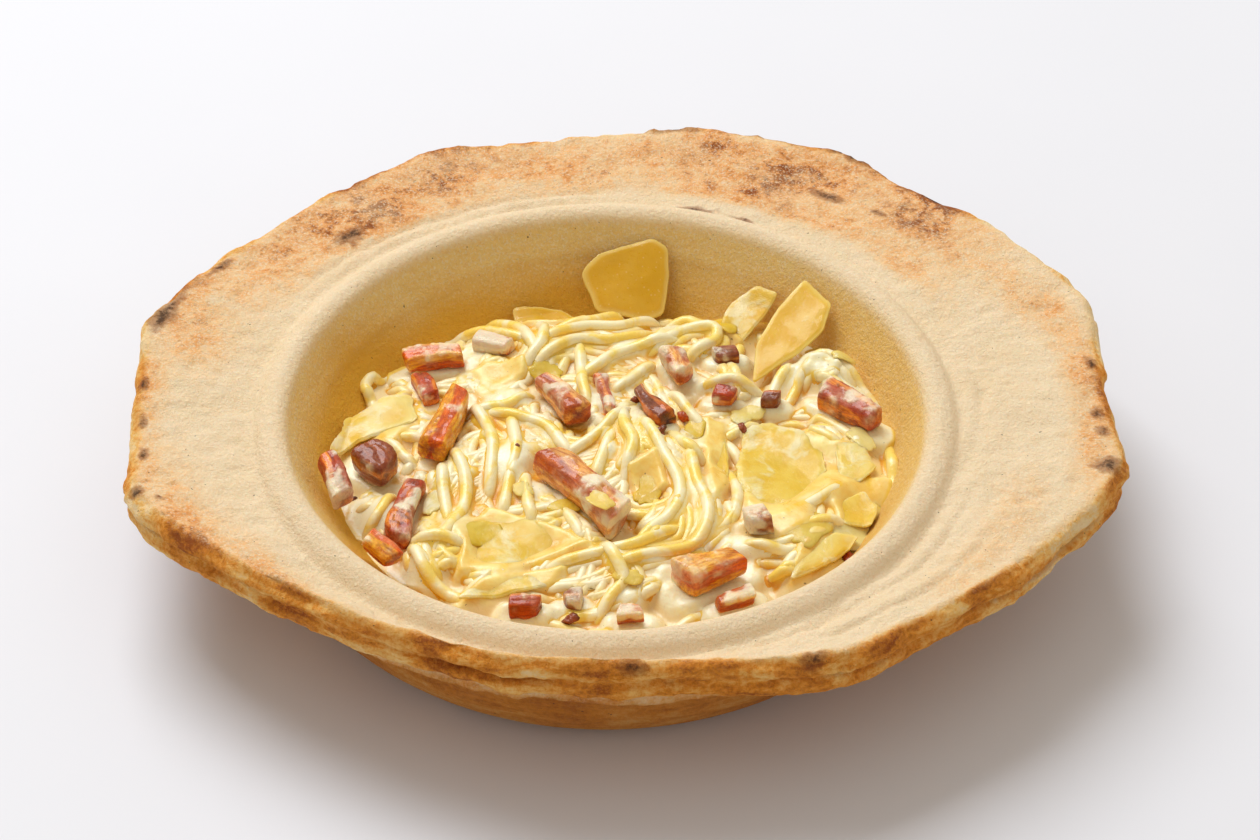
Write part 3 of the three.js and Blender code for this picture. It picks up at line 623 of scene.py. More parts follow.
# the shavings: outline, stiffness (1 keeps its own slope, 0 follows the heap), slope along X and Y, golden,
# frosted
shavings = namedRows(("corners", "stiffness", "slope", "golden", "frost"), [
    ([(-6, 59.5), (-2, 64), (10.8, 67), (14, 65), (14.4, 59.5), (13, 51.5), (7.8, 50), (-2.3, 52)],
     1, (0, 0.62), 1, 0),
    ([(-22.3, 54.5), (-11, 55.2), (-4.8, 49.5), (-11.4, 44.8), (-20.6, 46.5)], 0.6, (0, 0.2), 0.8, 0),
    ([(26.2, 42.3), (28.9, 50.2), (35, 53.5), (39.9, 51), (34.5, 42.8), (31, 37.6)],
     0.8, (0.05, 0.3), 0.4, 0.7),
    ([(46, 49.6), (51.8, 42.2), (49.5, 34.9), (42.9, 28.5), (33.4, 21.8), (34.4, 31.8), (39.6, 42)],
     1, (0.06, 0.25), 0.55, 0.25),
    ([(-62.6, -3.5), (-58.3, 13), (-50.5, 18.4), (-44.5, 19.5), (-43, 9), (-50.2, 7), (-56.1, 4.1)], 0.3),
    ([(-30.8, 27.6), (-28, 29.4), (-19, 29), (-18.6, 24), (-25.7, 21.5)], 0.3, (0, 0), 0.25, 1),
    ([(31, 4.5), (36.6, 8), (45.3, 2.9), (48.6, -8), (46.5, -16.5), (39.5, -23.5), (31, -22), (29, -9)], 0.2),
    ([(51, -0.8), (57.5, -2), (59.2, -8.8), (56, -14), (51.2, -12.2)], 0.3),
    ([(49.5, -21), (56.5, -16.5), (59.5, -21.5), (57.5, -27.6), (51.6, -26.6)], 0.7),
    ([(39.4, -44.5), (42, -36.5), (49.5, -30.8), (54.2, -31.5), (53, -35.5), (47, -40.5)], 0.5, (0, 0.1)),
    ([(22.6, 8.7), (26.2, 7), (26.6, -2.4), (27, -14.4), (24.4, -19.6), (22.4, -8.1)], 0.2),
    ([(-31.6, -41), (-29.6, -26.3), (-25.4, -19.8), (-9.9, -28.2), (-3.3, -34), (-9.8, -36), (-22.6, -39)],
     0.2),
    ([(-31.4, -48), (-26.8, -43.8), (-16.2, -40.6), (-8.8, -40.6), (-11.5, -44.6), (-22.1, -47.2)], 0.3),
    ([(5, -11), (10.8, -7), (13.4, -16.5), (7.5, -20)], 0.3),
])

# the spaghetti
noodle = {
    "radius": 1.3,
    "coated": 1.4,
    "sink": 0.4,
    "margin": 0.35,
    "step": 2.5,
    "fineStep": 0.7,
    "shortest": 7.5,
    # how far a strand's end is carried on, and how deep it falls
    "dip": (8, 2.2),
    "scattered": 36,
    "tries": 900,
    "length": 38,
    "spacing": 3,
    "reach": 61,
    "sides": 10,
    "bundles": 62,
    "rest": 0.8,
    "cell": 0.4,
    "cellsReach": 72,
    # where the strands pile up: x, y, radius, height
    "mounds": [
        (14, -14, 9, 2.4), (18, -27, 8, 2.6), (8, -36, 8, 1.8), (10, -2, 8, 1.6), (-2, 40, 14, 2.2),
        (16, 40, 9, 1.6), (-36, -8, 8, 1.6), (-40, -32, 8, 1.4), (50, 24, 9, 2.2), (-22, -4, 7, 1.2),
        (60, -8, 7, 1.4), (-12, -50, 7, 1), (54, -34, 6, 1.2), (-14, 33, 8, 1.2), (30, 22, 6, 1),
    ],
}

# the strands that stand out, as in the solid: rise of the middle, and the route seen from above
mainStrands = [
    (5, [(-54, 22), (-55.5, 25), (-54.5, 28.5), (-52, 29.5), (-50, 27.5), (-49, 24)]),
    (1.8, [(-23, 7), (-27, 8), (-32, 6), (-35, 1), (-36, -5), (-36, -13), (-35, -20)]),
    (1.6, [(-37, -19), (-40, -25), (-41, -31), (-40, -37), (-37, -42), (-33, -45)]),
    (1.4, [(-21, 6), (-20, -2), (-21, -9), (-22, -17)]),
    (1.6, [(-12, -45), (-11, -40), (-6, -38), (0, -37), (6, -36), (11, -33)]),
    (1.2, [(-13, -46), (-11, -52), (-7, -54), (-1, -54), (2, -49)]),
    (2.6, [(10, 0), (13, -8), (16, -16), (16, -22), (13, -28), (7, -32), (0, -34)]),
    (2.2, [(19, -9), (20, -16), (22, -22), (22, -29), (19, -35), (13, -38), (6, -40)]),
    (1.8, [(4, 11), (4, 3), (6, -4), (3, -12), (0, -16)]),
    (2.0, [(-12, 31), (-7, 35), (1, 36), (8, 39), (13, 44), (19, 46), (22, 42)]),
    (1.4, [(-11, 38), (-5, 42), (3, 43), (8, 47)]),
    (2.0, [(12, 34), (19, 40), (25, 40), (25, 36), (21, 32)]),
    (1.8, [(42, 18), (45, 24), (49, 28), (55, 24), (60, 17)]),
    (1.6, [(43, 9), (48, 11), (53, 7), (57, 2), (60, -2)]),
    (1.2, [(61, 6), (63, -1), (63.5, -9), (63, -18), (60, -27)]),
    (1.4, [(36, -45), (40, -44), (47, -41), (53, -36), (57, -31)]),
    (1.0, [(2, -40), (4, -45), (2, -48), (-3, -50)]),
]


def seededFrom(seed):  # the same numbers from 0 to 1 on each run
    state = seed
    while True:
        state = (state * 1664525 + 1013904223) % 4294967296
        yield state / 4294967296


def distanceToLine(x, y, a, b):  # from each point to the stretch from a to b
    dx, dy = b[0] - a[0], b[1] - a[1]
    t = np.clip(((x - a[0]) * dx + (y - a[1]) * dy) / (dx * dx + dy * dy), 0, 1)
    return np.hypot(x - a[0] - t * dx, y - a[1] - t * dy)


def insideOutline(x, y, corners):  # crossings of a level line to the right, odd inside
    inside = np.zeros(np.shape(x), bool)
    for (ax, ay), (bx, by) in zip(corners, corners[1:] + corners[:1]):
        if ay != by:
            inside ^= ((ay > y) != (by > y)) & (x < ax + (y - ay) / (by - ay) * (bx - ax))
    return inside


def outlineDistance(x, y, corners):  # to the nearest stretch of a closed outline
    return np.min([distanceToLine(x, y, a, b) for a, b in zip(corners, corners[1:] + corners[:1])], 0)


def isBlocked(x, y, above):  # a strand here would run into a topping or the wall
    margin = noodle["radius"] + noodle["margin"]
    blocked = wallHeight(np.hypot(x, y) + margin) > heapHeight(x, y) + above + margin
    for piece in lardons:
        blocked |= distanceToLine(x, y, *piece["ends"]) < piece["size"][0] / 2 + margin + 0.6
    for piece in shavings:
        blocked |= insideOutline(x, y, piece["corners"]) | (outlineDistance(x, y, piece["corners"]) < margin)
    return blocked


def archHeight(share, rise):  # rise * sin(pi * share)^0.6, level at both ends
    return rise * np.maximum(0, np.sin(np.pi * share)) ** 0.6


def clearStretch(route, rise):  # the longest stretch of a route that is clear
    line = evenlySpaced(smoothThrough(route, 12), 0.5)
    count = int(np.ceil((len(line) - 1) * 0.5 / noodle["step"]))
    line = line[np.round(np.linspace(0, len(line) - 1, count + 1)).astype(int)]
    clear = ~isBlocked(line[:, 0], line[:, 1], archHeight(np.arange(count + 1) / count, rise))
    best, start = (0, 0), None
    for i, good in enumerate([*clear, False]):
        if good and start is None:
            start = i
        elif not good and start is not None:
            best = max(best, (i - start, start))
            start = None
    return line[best[1] : best[1] + best[0]]


def scatteredRoutes():  # curved strands on a sunflower pattern, each on a patch of its own
    random = seededFrom(11)
    taken = [clearStretch(route, rise) for rise, route in mainStrands]
    found = []
    for i in range(noodle["tries"]):
        if len(found) >= noodle["scattered"]:
            break
        reach = noodle["reach"] * math.sqrt((i + 0.5) / noodle["tries"])
        around = i * math.pi * (3 - math.sqrt(5))
        heading, curl = 2 * math.pi * next(random), 0.5 + 1.6 * next(random)
        t = np.array([-0.5, -0.25, 0, 0.25, 0.5])
        route = np.stack([
            reach * math.cos(around) + noodle["length"] * t * np.cos(heading + curl * t),
            reach * math.sin(around) + noodle["length"] * t * np.sin(heading + curl * t),
        ], -1)
        line = clearStretch(route, 0)
        if (len(line) - 1) * noodle["step"] < noodle["shortest"]:
            continue
        others = np.concatenate(taken)
        if np.linalg.norm(line[:, None] - others[None], axis=-1).min() < noodle["spacing"]:
            continue
        taken.append(line)
        found.append((line, 0.7 + 0.3 * (len(found) % 3)))
    return found


def dippingEnds(line, reach, drop):  # carries a line on at both ends, falling below the surface
    ends = []
    for tip, inner in ((line[0], line[2]), (line[-1], line[-3])):
        way = (tip - inner) * [1, 1, 0]
        way = way / max(np.linalg.norm(way), 1e-6)
        ends.append([tip + way * reach * s - [0, 0, drop * s**1.4] for s in (1, 0.66, 0.33)])
    return np.concatenate([ends[0], line, ends[1][::-1]])


def raisedStrand(line, rise):  # z = heap + rise * arch - sink
    share = np.arange(len(line)) / (len(line) - 1)
    z = heapHeight(line[:, 0], line[:, 1]) + archHeight(share, rise) - noodle["sink"]
    return np.column_stack([line, z])


def shownStrands():  # the solid's main and scattered strands, their ends carried below the surface
    strands = []
    for rise, route in mainStrands:
        line = clearStretch(route, rise)
        if (len(line) - 1) * noodle["step"] >= noodle["shortest"]:
            strands.append(raisedStrand(line, rise))
    strands += [raisedStrand(line, rise) for line, rise in scatteredRoutes()]
    strands = [dippingEnds(line, *noodle["dip"]) for line in strands]
    return [evenlySpaced(smoothThrough(line, 6), noodle["fineStep"]) for line in strands]


def insideWell(line, spare=1.8):  # the longest run of a route that stays clear of the wall
    x, y = line.T
    keep = np.concatenate([[False], wallHeight(np.hypot(x, y) + spare) < heapHeight(x, y) + 1, [False]])
    turns = np.flatnonzero(np.diff(keep.astype(int)))
    first, last = max(turns.reshape(-1, 2), key=lambda run: run[1] - run[0], default=(0, 0))
    return line[first:last]


def sideBySide(line, offset):  # the same route moved sideways, with a slow drift
    way = np.gradient(line, axis=0)
    way /= np.maximum(np.linalg.norm(way, axis=1, keepdims=True), 1e-6)
    drift = 1 + 0.35 * np.sin(np.arange(len(line)) / 17 + offset)
    return line + np.column_stack([-way[:, 1], way[:, 0]]) * (offset * drift)[:, None]


def bundledRoutes():
    # wandering routes whose heading is the running sum of a slowly changing bend, two to four side by side,
    # and companions on both sides of the main strands
    random = np.random.default_rng(5)
    step = noodle["fineStep"]
    routes = []
    for _ in range(noodle["bundles"]):
        along = np.arange(0, random.uniform(45, 120), step)
        bend = random.choice([-1, 1]) * random.uniform(0.01, 0.085)
        bend = bend + 0.03 * np.sin(along / random.uniform(9, 22))
        heading = random.uniform(0, 2 * np.pi) + np.cumsum(bend) * step
        line = np.column_stack([np.cumsum(np.cos(heading)), np.cumsum(np.sin(heading))]) * step
        line += random.uniform(-52, 52, 2) - line[len(line) // 2]
        gaps = np.arange(random.integers(2, 5)) * random.uniform(2.5, 3.3)
        routes += [sideBySide(line, gap) for gap in gaps]
    for rise, route in mainStrands[1:]:
        line = evenlySpaced(smoothThrough(route, 12), step)
        routes += [sideBySide(line, gap) for gap in (-5.1, 5.0, -2.6, 2.5)]
    routes = [insideWell(line) for line in routes]
    return [line for line in routes if len(line) > 16]


def laidStrand(surface, route, fixed=None, most=1.6):
    # rests on the highest point under its width, bridging small dips; its ends sink in
    x, y = route.T
    nearby = ((0, 0), (0.8, 0), (-0.8, 0), (0, 0.8), (0, -0.8))
    z = np.max([raster.sample(surface, x + i, y + j) for i, j in nearby], 0)
    z = z + noodle["radius"] * noodle["rest"]
    reach = 9
    weights = np.exp(-0.5 * (np.arange(-reach, reach + 1) * noodle["fineStep"] / 2.1) ** 2)
    z = np.convolve(np.pad(z, reach, mode="edge"), weights / weights.sum(), "valid")
    fromEnd = np.minimum(np.arange(len(x)), np.arange(len(x))[::-1]) * noodle["fineStep"]
    z = z - 2.6 * (1 - smoothStep(fromEnd, 0, 7))
    level = heapHeight(x, y)
    if fixed is not None:
        z = np.clip(fixed, z - 0.6, z + most)
    else:
        z = np.minimum(z, level + raster.sample(mounds, x, y) + 1.5 + 0.5 * latticeNoise(x, y, 0, 17, 4))
    press = raster.sample(pressed, x, y)
    return np.column_stack([x, y, z - np.maximum(0, z - level + 0.95) * press])


class Raster:  # heights over a square of cells, sampled between the cells
    def __init__(self, half, cell):
        self.half, self.cell = half, cell
        self.count = int(round(2 * half / cell)) + 1
        axis = np.linspace(-half, half, self.count)
        self.x, self.y = np.meshgrid(axis, axis, indexing="ij")

    def sample(self, data, x, y):
        u = np.clip((x + self.half) / self.cell, 0, self.count - 1.001)
        v = np.clip((y + self.half) / self.cell, 0, self.count - 1.001)
        i, j = u.astype(int), v.astype(int)
        u, v = u - i, v - j
        near = data[i, j] * (1 - u) * (1 - v) + data[i + 1, j] * u * (1 - v)
        return near + data[i, j + 1] * (1 - u) * v + data[i + 1, j + 1] * u * v

    def bell(self, x, y, reach):  # e^(-(distance / reach)^2) round one spot
        return np.exp(-((self.x - x) ** 2 + (self.y - y) ** 2) / reach**2)

    def blur(self, data, size):  # separable bell curve; size in millimetres
        reach = int(3 * size / self.cell) + 1
        kernel = np.exp(-0.5 * (np.arange(-reach, reach + 1) * self.cell / size) ** 2)
        kernel /= kernel.sum()
        for axis in (0, 1):
            padded = np.pad(data, [(reach, reach) if k == axis else (0, 0) for k in (0, 1)], mode="edge")
            data = sum(w * np.take(padded, np.arange(k, k + self.count), axis) for k, w in enumerate(kernel))
        return data

    def spread(self, data, size, pick=np.maximum):  # highest value within a disc, or lowest with np.minimum
        reach = int(size / self.cell)
        padded = np.pad(data, reach, mode="edge")
        best = data
        for i in range(2 * reach + 1):
            for j in range(2 * reach + 1):
                if (i - reach) ** 2 + (j - reach) ** 2 <= reach * reach:
                    best = pick(best, padded[i : i + self.count, j : j + self.count])
        return best

    def stamp(self, data, lines, radius):  # raises the cells to the top of round strands
        points = np.concatenate(lines)
        reach = int(radius / self.cell) + 1
        x, y = points[:, 0] + self.half, points[:, 1] + self.half
        i0, j0 = np.round(x / self.cell).astype(int), np.round(y / self.cell).astype(int)
        for i in range(-reach, reach + 1):
            for j in range(-reach, reach + 1):
                cellX, cellY = np.clip(i0 + i, 0, self.count - 1), np.clip(j0 + j, 0, self.count - 1)
                gap = (cellX * self.cell - x) ** 2 + (cellY * self.cell - y) ** 2
                inside = gap < radius**2
                top = points[inside, 2] + np.sqrt(radius**2 - gap[inside])
                np.maximum.at(data, (cellX[inside], cellY[inside]), top)
        return data


def tubes(lines, radius, sides, swell=0.07):
    # a ring of points round each station, centre + r * (side * cos + up * sin), closed by a point at each end
    bodies, shares = [], []
    angle = ringAngles(sides)[:, None]
    for number, line in enumerate(lines):
        if len(line) < 3:
            continue
        way = np.gradient(line, axis=0)
        way /= np.linalg.norm(way, axis=1, keepdims=True)
        side = np.cross(way, [0, 0, 1])
        side /= np.maximum(np.linalg.norm(side, axis=1, keepdims=True), 1e-6)
        up = np.cross(side, way)
        fromEnd = np.minimum(np.arange(len(line)), np.arange(len(line))[::-1])
        size = radius * (1 + swell * layeredNoise(line[:, 0], line[:, 1], line[:, 2] + 9 * number, 5, 2, 3))
        size = (size * (1 - 0.35 * np.exp(-fromEnd)))[:, None, None]
        rings = line[:, None] + size * (side[:, None] * np.cos(angle) + up[:, None] * np.sin(angle))
        tips = np.stack([line[0] - way[0] * radius * 0.4, line[-1] + way[-1] * radius * 0.4])
        bodies.append((rings, tips))
        shares.append(np.full(len(line) * sides + 2, number * 0.618 % 1))
    return *joinedGrids(bodies), np.concatenate(shares)


raster = Raster(noodle["cellsReach"], noodle["cell"])
heapTop = heapHeight(raster.x, raster.y)

# under a topping the strands are pressed down below the level it rests on
pressed, underCheese = np.zeros(heapTop.shape), np.zeros(heapTop.shape)
nearBacon, nearCheese = np.full(heapTop.shape, 99.0), np.full(heapTop.shape, 99.0)
for piece in lardons:
    gap = distanceToLine(raster.x, raster.y, *piece["ends"]) - piece["size"][0] / 2
    nearBacon = np.minimum(nearBacon, gap)
    pressed = np.maximum(pressed, gap < 0.2)
for piece in shavings:
    inside = insideOutline(raster.x, raster.y, piece["corners"])
    if piece["stiffness"] < 1:
        gap = outlineDistance(raster.x, raster.y, piece["corners"]) * np.where(inside, -1, 1)
        nearCheese = np.minimum(nearCheese, gap)
    pressed = np.maximum(pressed, inside)
    underCheese = np.maximum(underCheese, inside)
pressed = raster.blur(pressed.astype(float), 0.9)

mounds = 2.2 * layeredNoise(raster.x, raster.y, 0, 21, 2, 2)
for crestX, crestY, reach, rise in noodle["mounds"]:
    mounds += rise * raster.bell(crestX, crestY, reach)
mounds = np.minimum(mounds, 3.4)
mounds -= np.maximum(mounds, 0) * raster.blur(raster.spread(underCheese, 1.2), 1.5)
bare = heapTop - 4.0 + mounds
laid = []
for route in bundledRoutes():
    laid.append(laidStrand(bare, route))
    bare = raster.stamp(bare, laid[-1:], noodle["radius"])
for number, line in enumerate(shownStrands()):
    laid.append(laidStrand(bare, line[:, :2], line[:, 2], 5 if number == 0 else 1.6))
    bare = raster.stamp(bare, laid[-1:], noodle["radius"])
print("strands", len(laid))

# the cream sauce: fills the gaps between the strands, thick in some places and thin in others
sauce = {
    "bridge": 1.6,
    "soften": 0.5,
    "side": 306,
    "curds": 170,
    # where a third of the curds lie: x, y, spread
    "curdled": (51, 29, 7),
    "curdHeight": 0.75,
    # the film: its level against the softened strands, and its rise where cream covers them
    "film": (-0.42, 0.67),
    # the closed gaps: their level against the strands' tops, and their rise under cream or cheese
    "filled": (-1.65, 1.4),
    # the flood that fills the pools: how far it lies under the strands' tops, and how much lower elsewhere
    "flood": (0.25, 2.6),
    # a collar round each lardon and a bank against each soft shaving: level against the heap, height
    "collar": (-1.6, 4.3),
    "bank": (-1.4, 2.5),
    # melted cheese: x, y, radius
    "melted": [(42, -8, 17), (55, -14, 11), (38, -26, 9), (-22, -32, 13), (-52, 8, 9), (48, -36, 9)],
    # where the cream stands thick: x, y, radius
    "pools": [
        (-55, -19, 12), (-48, -22, 9), (-31, 33, 6), (-24, 18, 6), (-2, 14, 5), (28, 8, 6), (24, 0, 6),
        (56, 15, 8), (50, 30, 9), (14, -44, 5), (6, -50, 4), (-20, -5, 6), (-14, -14, 5), (30, -34, 6),
        (-42, -38, 5), (20, 22, 5),
    ],
}


def sauceHeights():
    # a film that follows the strands, bare in places, and sauce that closes the gaps between them
    x, y = raster.x, raster.y
    closed = raster.spread(raster.spread(bare, sauce["bridge"]), sauce["bridge"], np.minimum)
    closed = raster.blur(closed, 1.5)
    film = layeredNoise(x, y, 0, 9, 3, 21)
    pools = 0.5 * layeredNoise(x, y, 0, 14, 2, 31)
    for poolX, poolY, radius in sauce["pools"]:
        pools = np.maximum(pools, 1.1 * raster.bell(poolX, poolY, radius) + 0.25 * film)
    cover = np.clip(0.6 * smoothStep(film, -0.25, 0.4) + smoothStep(pools, 0.1, 0.8), 0, 1)
    melted = np.exp(-np.maximum(nearCheese, 0) / 1.6)
    for meltX, meltY, radius in sauce["melted"]:
        spot = np.exp(-(((x - meltX) ** 2 + (y - meltY) ** 2) / radius**2) ** 2)
        melted = np.maximum(melted, spot + 0.2 * film)
    melted = np.clip(melted, 0, 1)
    # level sheets where cream has pooled or cheese has melted
    sheet = np.maximum(smoothStep(pools, 0.5, 0.95), smoothStep(melted + 0.5 * film, 0.45, 0.9))
    under, away = sauce["flood"]
    flood = raster.blur(raster.spread(bare, 2.4), 2.0) - under
    flood = flood - away * (1 - sheet) + 0.6 * smoothStep(melted, 0.6, 0.95)
    level, rise = sauce["filled"]
    filled = np.maximum(closed + level + rise * np.maximum(cover, melted), flood)
    level, rise = sauce["film"]
    top = np.maximum(raster.blur(bare, 0.8) + level + rise * cover, filled)
    # a collar of sauce where each lardon is bedded in, and melted cheese banked up against the soft sheets
    collar = smoothStep(-nearBacon, -2.6, 0.5) * (0.72 + 0.6 * film)
    bank = smoothStep(-nearCheese, -4, 0.3) * (0.85 + 0.4 * film)
    for (level, rise), share in ((sauce["collar"], collar), (sauce["bank"], bank)):
        top = np.maximum(top, heapTop + level + rise * share)
    # curds: small round lumps, most of them at the far right
    random = np.random.default_rng(8)
    for i in range(sauce["curds"]):
        spot = sauce["curdled"] if i % 3 == 0 else (random.uniform(-45, 45), random.uniform(-45, 40), 6)
        curdX, curdY = random.normal(spot[:2], spot[2])
        size = random.uniform(0.5, 1.5)
        top += sauce["curdHeight"] * size * raster.bell(curdX, curdY, size) * (1 - pressed)
    top = raster.blur(top, sauce["soften"])
    # how far the surface lies below its blurred surroundings; the finish paints shade in these gaps from it
    depth = smoothStep(raster.blur(np.maximum(top, bare), 3.5) - top, -0.2, 1.2)
    return top, cover, melted, depth


sauceTop, sauceCover, sauceMelted, sauceGapShade = sauceHeights()
skinLevel = raster.blur(np.maximum(sauceTop, bare), 3.5)


def wellMouth(azimuth):  # radius at which the heap's surface meets the wall, by halving an interval
    low, high = np.full(azimuth.shape, 40.0), np.full(azimuth.shape, 71.0)
    for _ in range(30):
        middle = (low + high) / 2
        over = heapHeight(middle * np.cos(azimuth), middle * np.sin(azimuth)) + 0.6 < wallHeight(middle)
        high, low = np.where(over, middle, high), np.where(over, low, middle)
    return low


def saucePiece(finish):
    # a square grid drawn into a disc (x = u * sqrt(1 - vv/2)), its edge just inside the dough of the wall
    side = sauce["side"]
    axis = np.linspace(-1, 1, side)
    u, v = np.meshgrid(axis, axis, indexing="ij")
    discX, discY = u * np.sqrt(1 - v * v / 2), v * np.sqrt(1 - u * u / 2)
    reach = wellMouth(np.arctan2(discY, discX)) + 0.8
    x, y = discX * reach, discY * reach
    z = raster.sample(sauceTop, x, y)
    z += (np.minimum(z, wallHeight(reach) - 0.2) - z) * smoothStep(np.hypot(discX, discY), 0.87, 0.99)
    points = np.stack([x, y, z], -1).reshape(-1, 3)
    cover = raster.sample(sauceCover, x, y)
    thick = raster.sample(sauceTop - bare, x, y) * (1 - smoothStep(np.hypot(discX, discY), 0.94, 0.99))
    grease = np.exp(-np.maximum(raster.sample(nearBacon, x, y), 0) / 2.2)
    melted, depth = raster.sample(sauceMelted, x, y), raster.sample(sauceGapShade, x, y)
    # the underside: the outline again, sunk into the dough, and a point at the middle of the floor
    n = np.arange(side)
    ring = np.concatenate([n * side, (side - 1) * side + n[1:], (n[:-1][::-1] + 1) * side - 1, n[1:-1][::-1]])
    outline = points[ring]
    low = outline * [0.97, 0.97, 1] - [0, 0, 3]
    bottom = outline * [0.8, 0.8, 0] + [0, 0, bread["floorHeight"] + 2]
    points = np.concatenate([points, low, bottom, [[0, 0, bread["floorHeight"] + 1]]])
    count = len(ring)
    rows = [ring, side * side + np.arange(count), side * side + count + np.arange(count)]
    rows.append(np.full(count, len(points) - 1))
    wall = [np.stack([b, np.roll(b, -1), np.roll(a, -1), a], -1) for a, b in zip(rows[:2], rows[1:3])]
    wall.append(np.stack([rows[3], np.roll(rows[2], -1), rows[2]], -1))
    k = (np.arange(side - 1)[:, None] * side + np.arange(side - 1)).ravel()
    top = np.stack([k, k + side, k + side + 1, k + 1], -1)
    values = {"cover": cover, "thick": thick, "grease": grease, "melted": melted, "depth": depth}
    values = {key: np.append(data, np.zeros(2 * count + 1)) for key, data in values.items()}
    return makePiece("creamSauce", points, [top, *wall], finish, ["spaghetti"], values)


def creamCoat():
    # yellow where the film is thin, nearly white where it is thick, golden where cheese has melted into it,
    # and darker golden in the gaps between the strands as painted shade
    glow = {"Subsurface_Weight": 0.25, "Subsurface_Scale": 0.003, "Subsurface_Radius": (1, 0.9, 0.5)}
    f = Finish("creamCoat", Coat_Roughness=0.16, **glow)
    patches, curds = f.noise(5, 3, 0.6, 0.5), f.noise(1.1, 3, 0.6)
    thick = f.between(f.value("thick") + f.value("cover") * 0.5 + (patches - 0.5) * 0.5, 0.25, 1.1)
    colour = f.mix(thick, (246, 208, 74), (248, 243, 206))
    colour = f.mix(f.between(patches, 0.5, 0.72) * 0.3, colour, (248, 218, 112))
    cheesy = f.mix(f.between(patches, 0.35, 0.7), (240, 190, 40), (248, 221, 116))
    colour = f.mix(f.value("melted") * 0.85, colour, cheesy)
    colour = f.mix(f.value("grease") * f.between(curds, 0.45, 0.7) * 0.2, colour, (236, 170, 76))
    # painted shade in the gaps between the strands: darker, deeper yellow, together with the deeper yellow of
    # the sauce lying there
    colour = f.mix(f.value("depth") * (1 - thick * 0.5) * 0.9, colour, (232, 180, 30), "MULTIPLY")
    specks = f.between(f.noise(0.75, 1), 0.75, 0.8)
    colour = f.mix(specks * 0.7, colour, (96, 72, 44))
    roughness = f.between(patches, 0.3, 0.7) * 0.25 + 0.24
    return f.wear(colour, roughness, f.bump(curds * 0.6 + patches, 0.18), f.between(patches, 0.35, 0.6) * 0.3)


def cookedPasta():
    # yellow strands, each a little different, with creamy patches, and darker golden where they lie deep
    # under the sauce's skin as painted shade
    glow = {"Subsurface_Weight": 0.1, "Subsurface_Scale": 0.002, "Subsurface_Radius": (1, 0.75, 0.25)}
    f = Finish("cookedPasta", Roughness=0.35, Coat_Roughness=0.2, **glow)
    patches, curds = f.noise(6.5, 3, 0.55, 0.6), f.noise(0.9, 3, 0.6)
    colour = f.mix(f.value("strand"), (250, 222, 116), (248, 212, 92))
    colour = f.mix(f.between(patches, 0.36, 0.6) * 0.8, colour, (250, 243, 206))
    # painted shade: darker golden where a strand lies deep below the skin
    colour = f.mix(f.value("depth") * 0.9, colour, (230, 176, 28), "MULTIPLY")
    roughness = f.between(patches, 0.3, 0.7) * 0.2 + 0.24
    return f.wear(colour, roughness, f.bump(curds + patches, 0.12), f.between(patches, 0.3, 0.6) * 0.35)


def shownStretch(line, skin):  # a strand from the first station that isn't wholly covered to the last
    shown = np.flatnonzero(line[:, 2] + noodle["coated"] > raster.sample(skin, line[:, 0], line[:, 1]))
    return line[max(0, shown[0] - 3) : shown[-1] + 4] if len(shown) else line[:0]


def strandsPiece(finish):  # all strands in one piece, with how far each point lies below the skin, which the finish paints as shade
    lowestSkin = raster.spread(np.maximum(sauceTop, bare), noodle["coated"], np.minimum)
    lines = [shownStretch(line[::2], lowestSkin) for line in laid]
    points, faces, share = tubes(lines, noodle["coated"], noodle["sides"])
    # depth below the skin, which the finish paints as shade
    depth = smoothStep(raster.sample(skinLevel, points[:, 0], points[:, 1]) - points[:, 2], 0, 1.9)
    values = {"strand": share, "depth": depth}
    return makePiece("spaghettiStrands", points, faces, finish, (), values)


saucePiece(creamCoat())
strandsPiece(cookedPasta())
print("sauce and strands")

# the bacon
bacon = {
    "around": 72,
    "along": 84,
    "power": 4.2,
    # size of the lumps, the fibres and the pits in the meat
    "lumps": 5.5,
    "fibres": 1.3,
    "pits": 1,
    "ragged": 0.085,
    "cream": (244, 240, 210),
    "creamDepth": 0.34,
    # meat, fat, sear, share of fat
    "tones": {
        "orange": ((234, 108, 4), (255, 180, 40), (150, 56, 4), 0.5),
        "red": ((190, 72, 18), (236, 142, 40), (106, 38, 8), 0.35),
        "brown": ((158, 78, 26), (214, 138, 50), (84, 38, 10), 0.35),
        "pink": ((208, 106, 34), (246, 180, 92), (144, 62, 12), 0.45),
        "charred": ((136, 66, 16), (210, 116, 26), (52, 27, 9), 0.35),
    },
}


def barFrame(piece):  # middle, half length, side and up of a bar laid on the ground under it
    a, b = [np.array([x, y, groundHeight(x, y)]) for x, y in piece["ends"]]
    width, height = piece["size"]
    side = np.array([b[1] - a[1], a[0] - b[0]]) / np.hypot(*(b - a)[:2])
    t, s = np.meshgrid(np.arange(-1, 12) / 10, [-0.5, 0, 0.5], indexing="ij")
    x = a[0] + (b[0] - a[0]) * t + side[0] * s * width
    y = a[1] + (b[1] - a[1]) * t + side[1] * s * width
    lift = max(0, (groundHeight(x, y) - a[2] - (b[2] - a[2]) * t).max()) + heap["clearance"]
    middle = (a + b) / 2 + [0, 0, lift + height / 2]
    half = (b - a) / 2
    side = np.array([-half[1], half[0], 0]) / np.hypot(half[0], half[1])
    up = np.cross(half, side)
    return middle, half, side, up / np.linalg.norm(up)


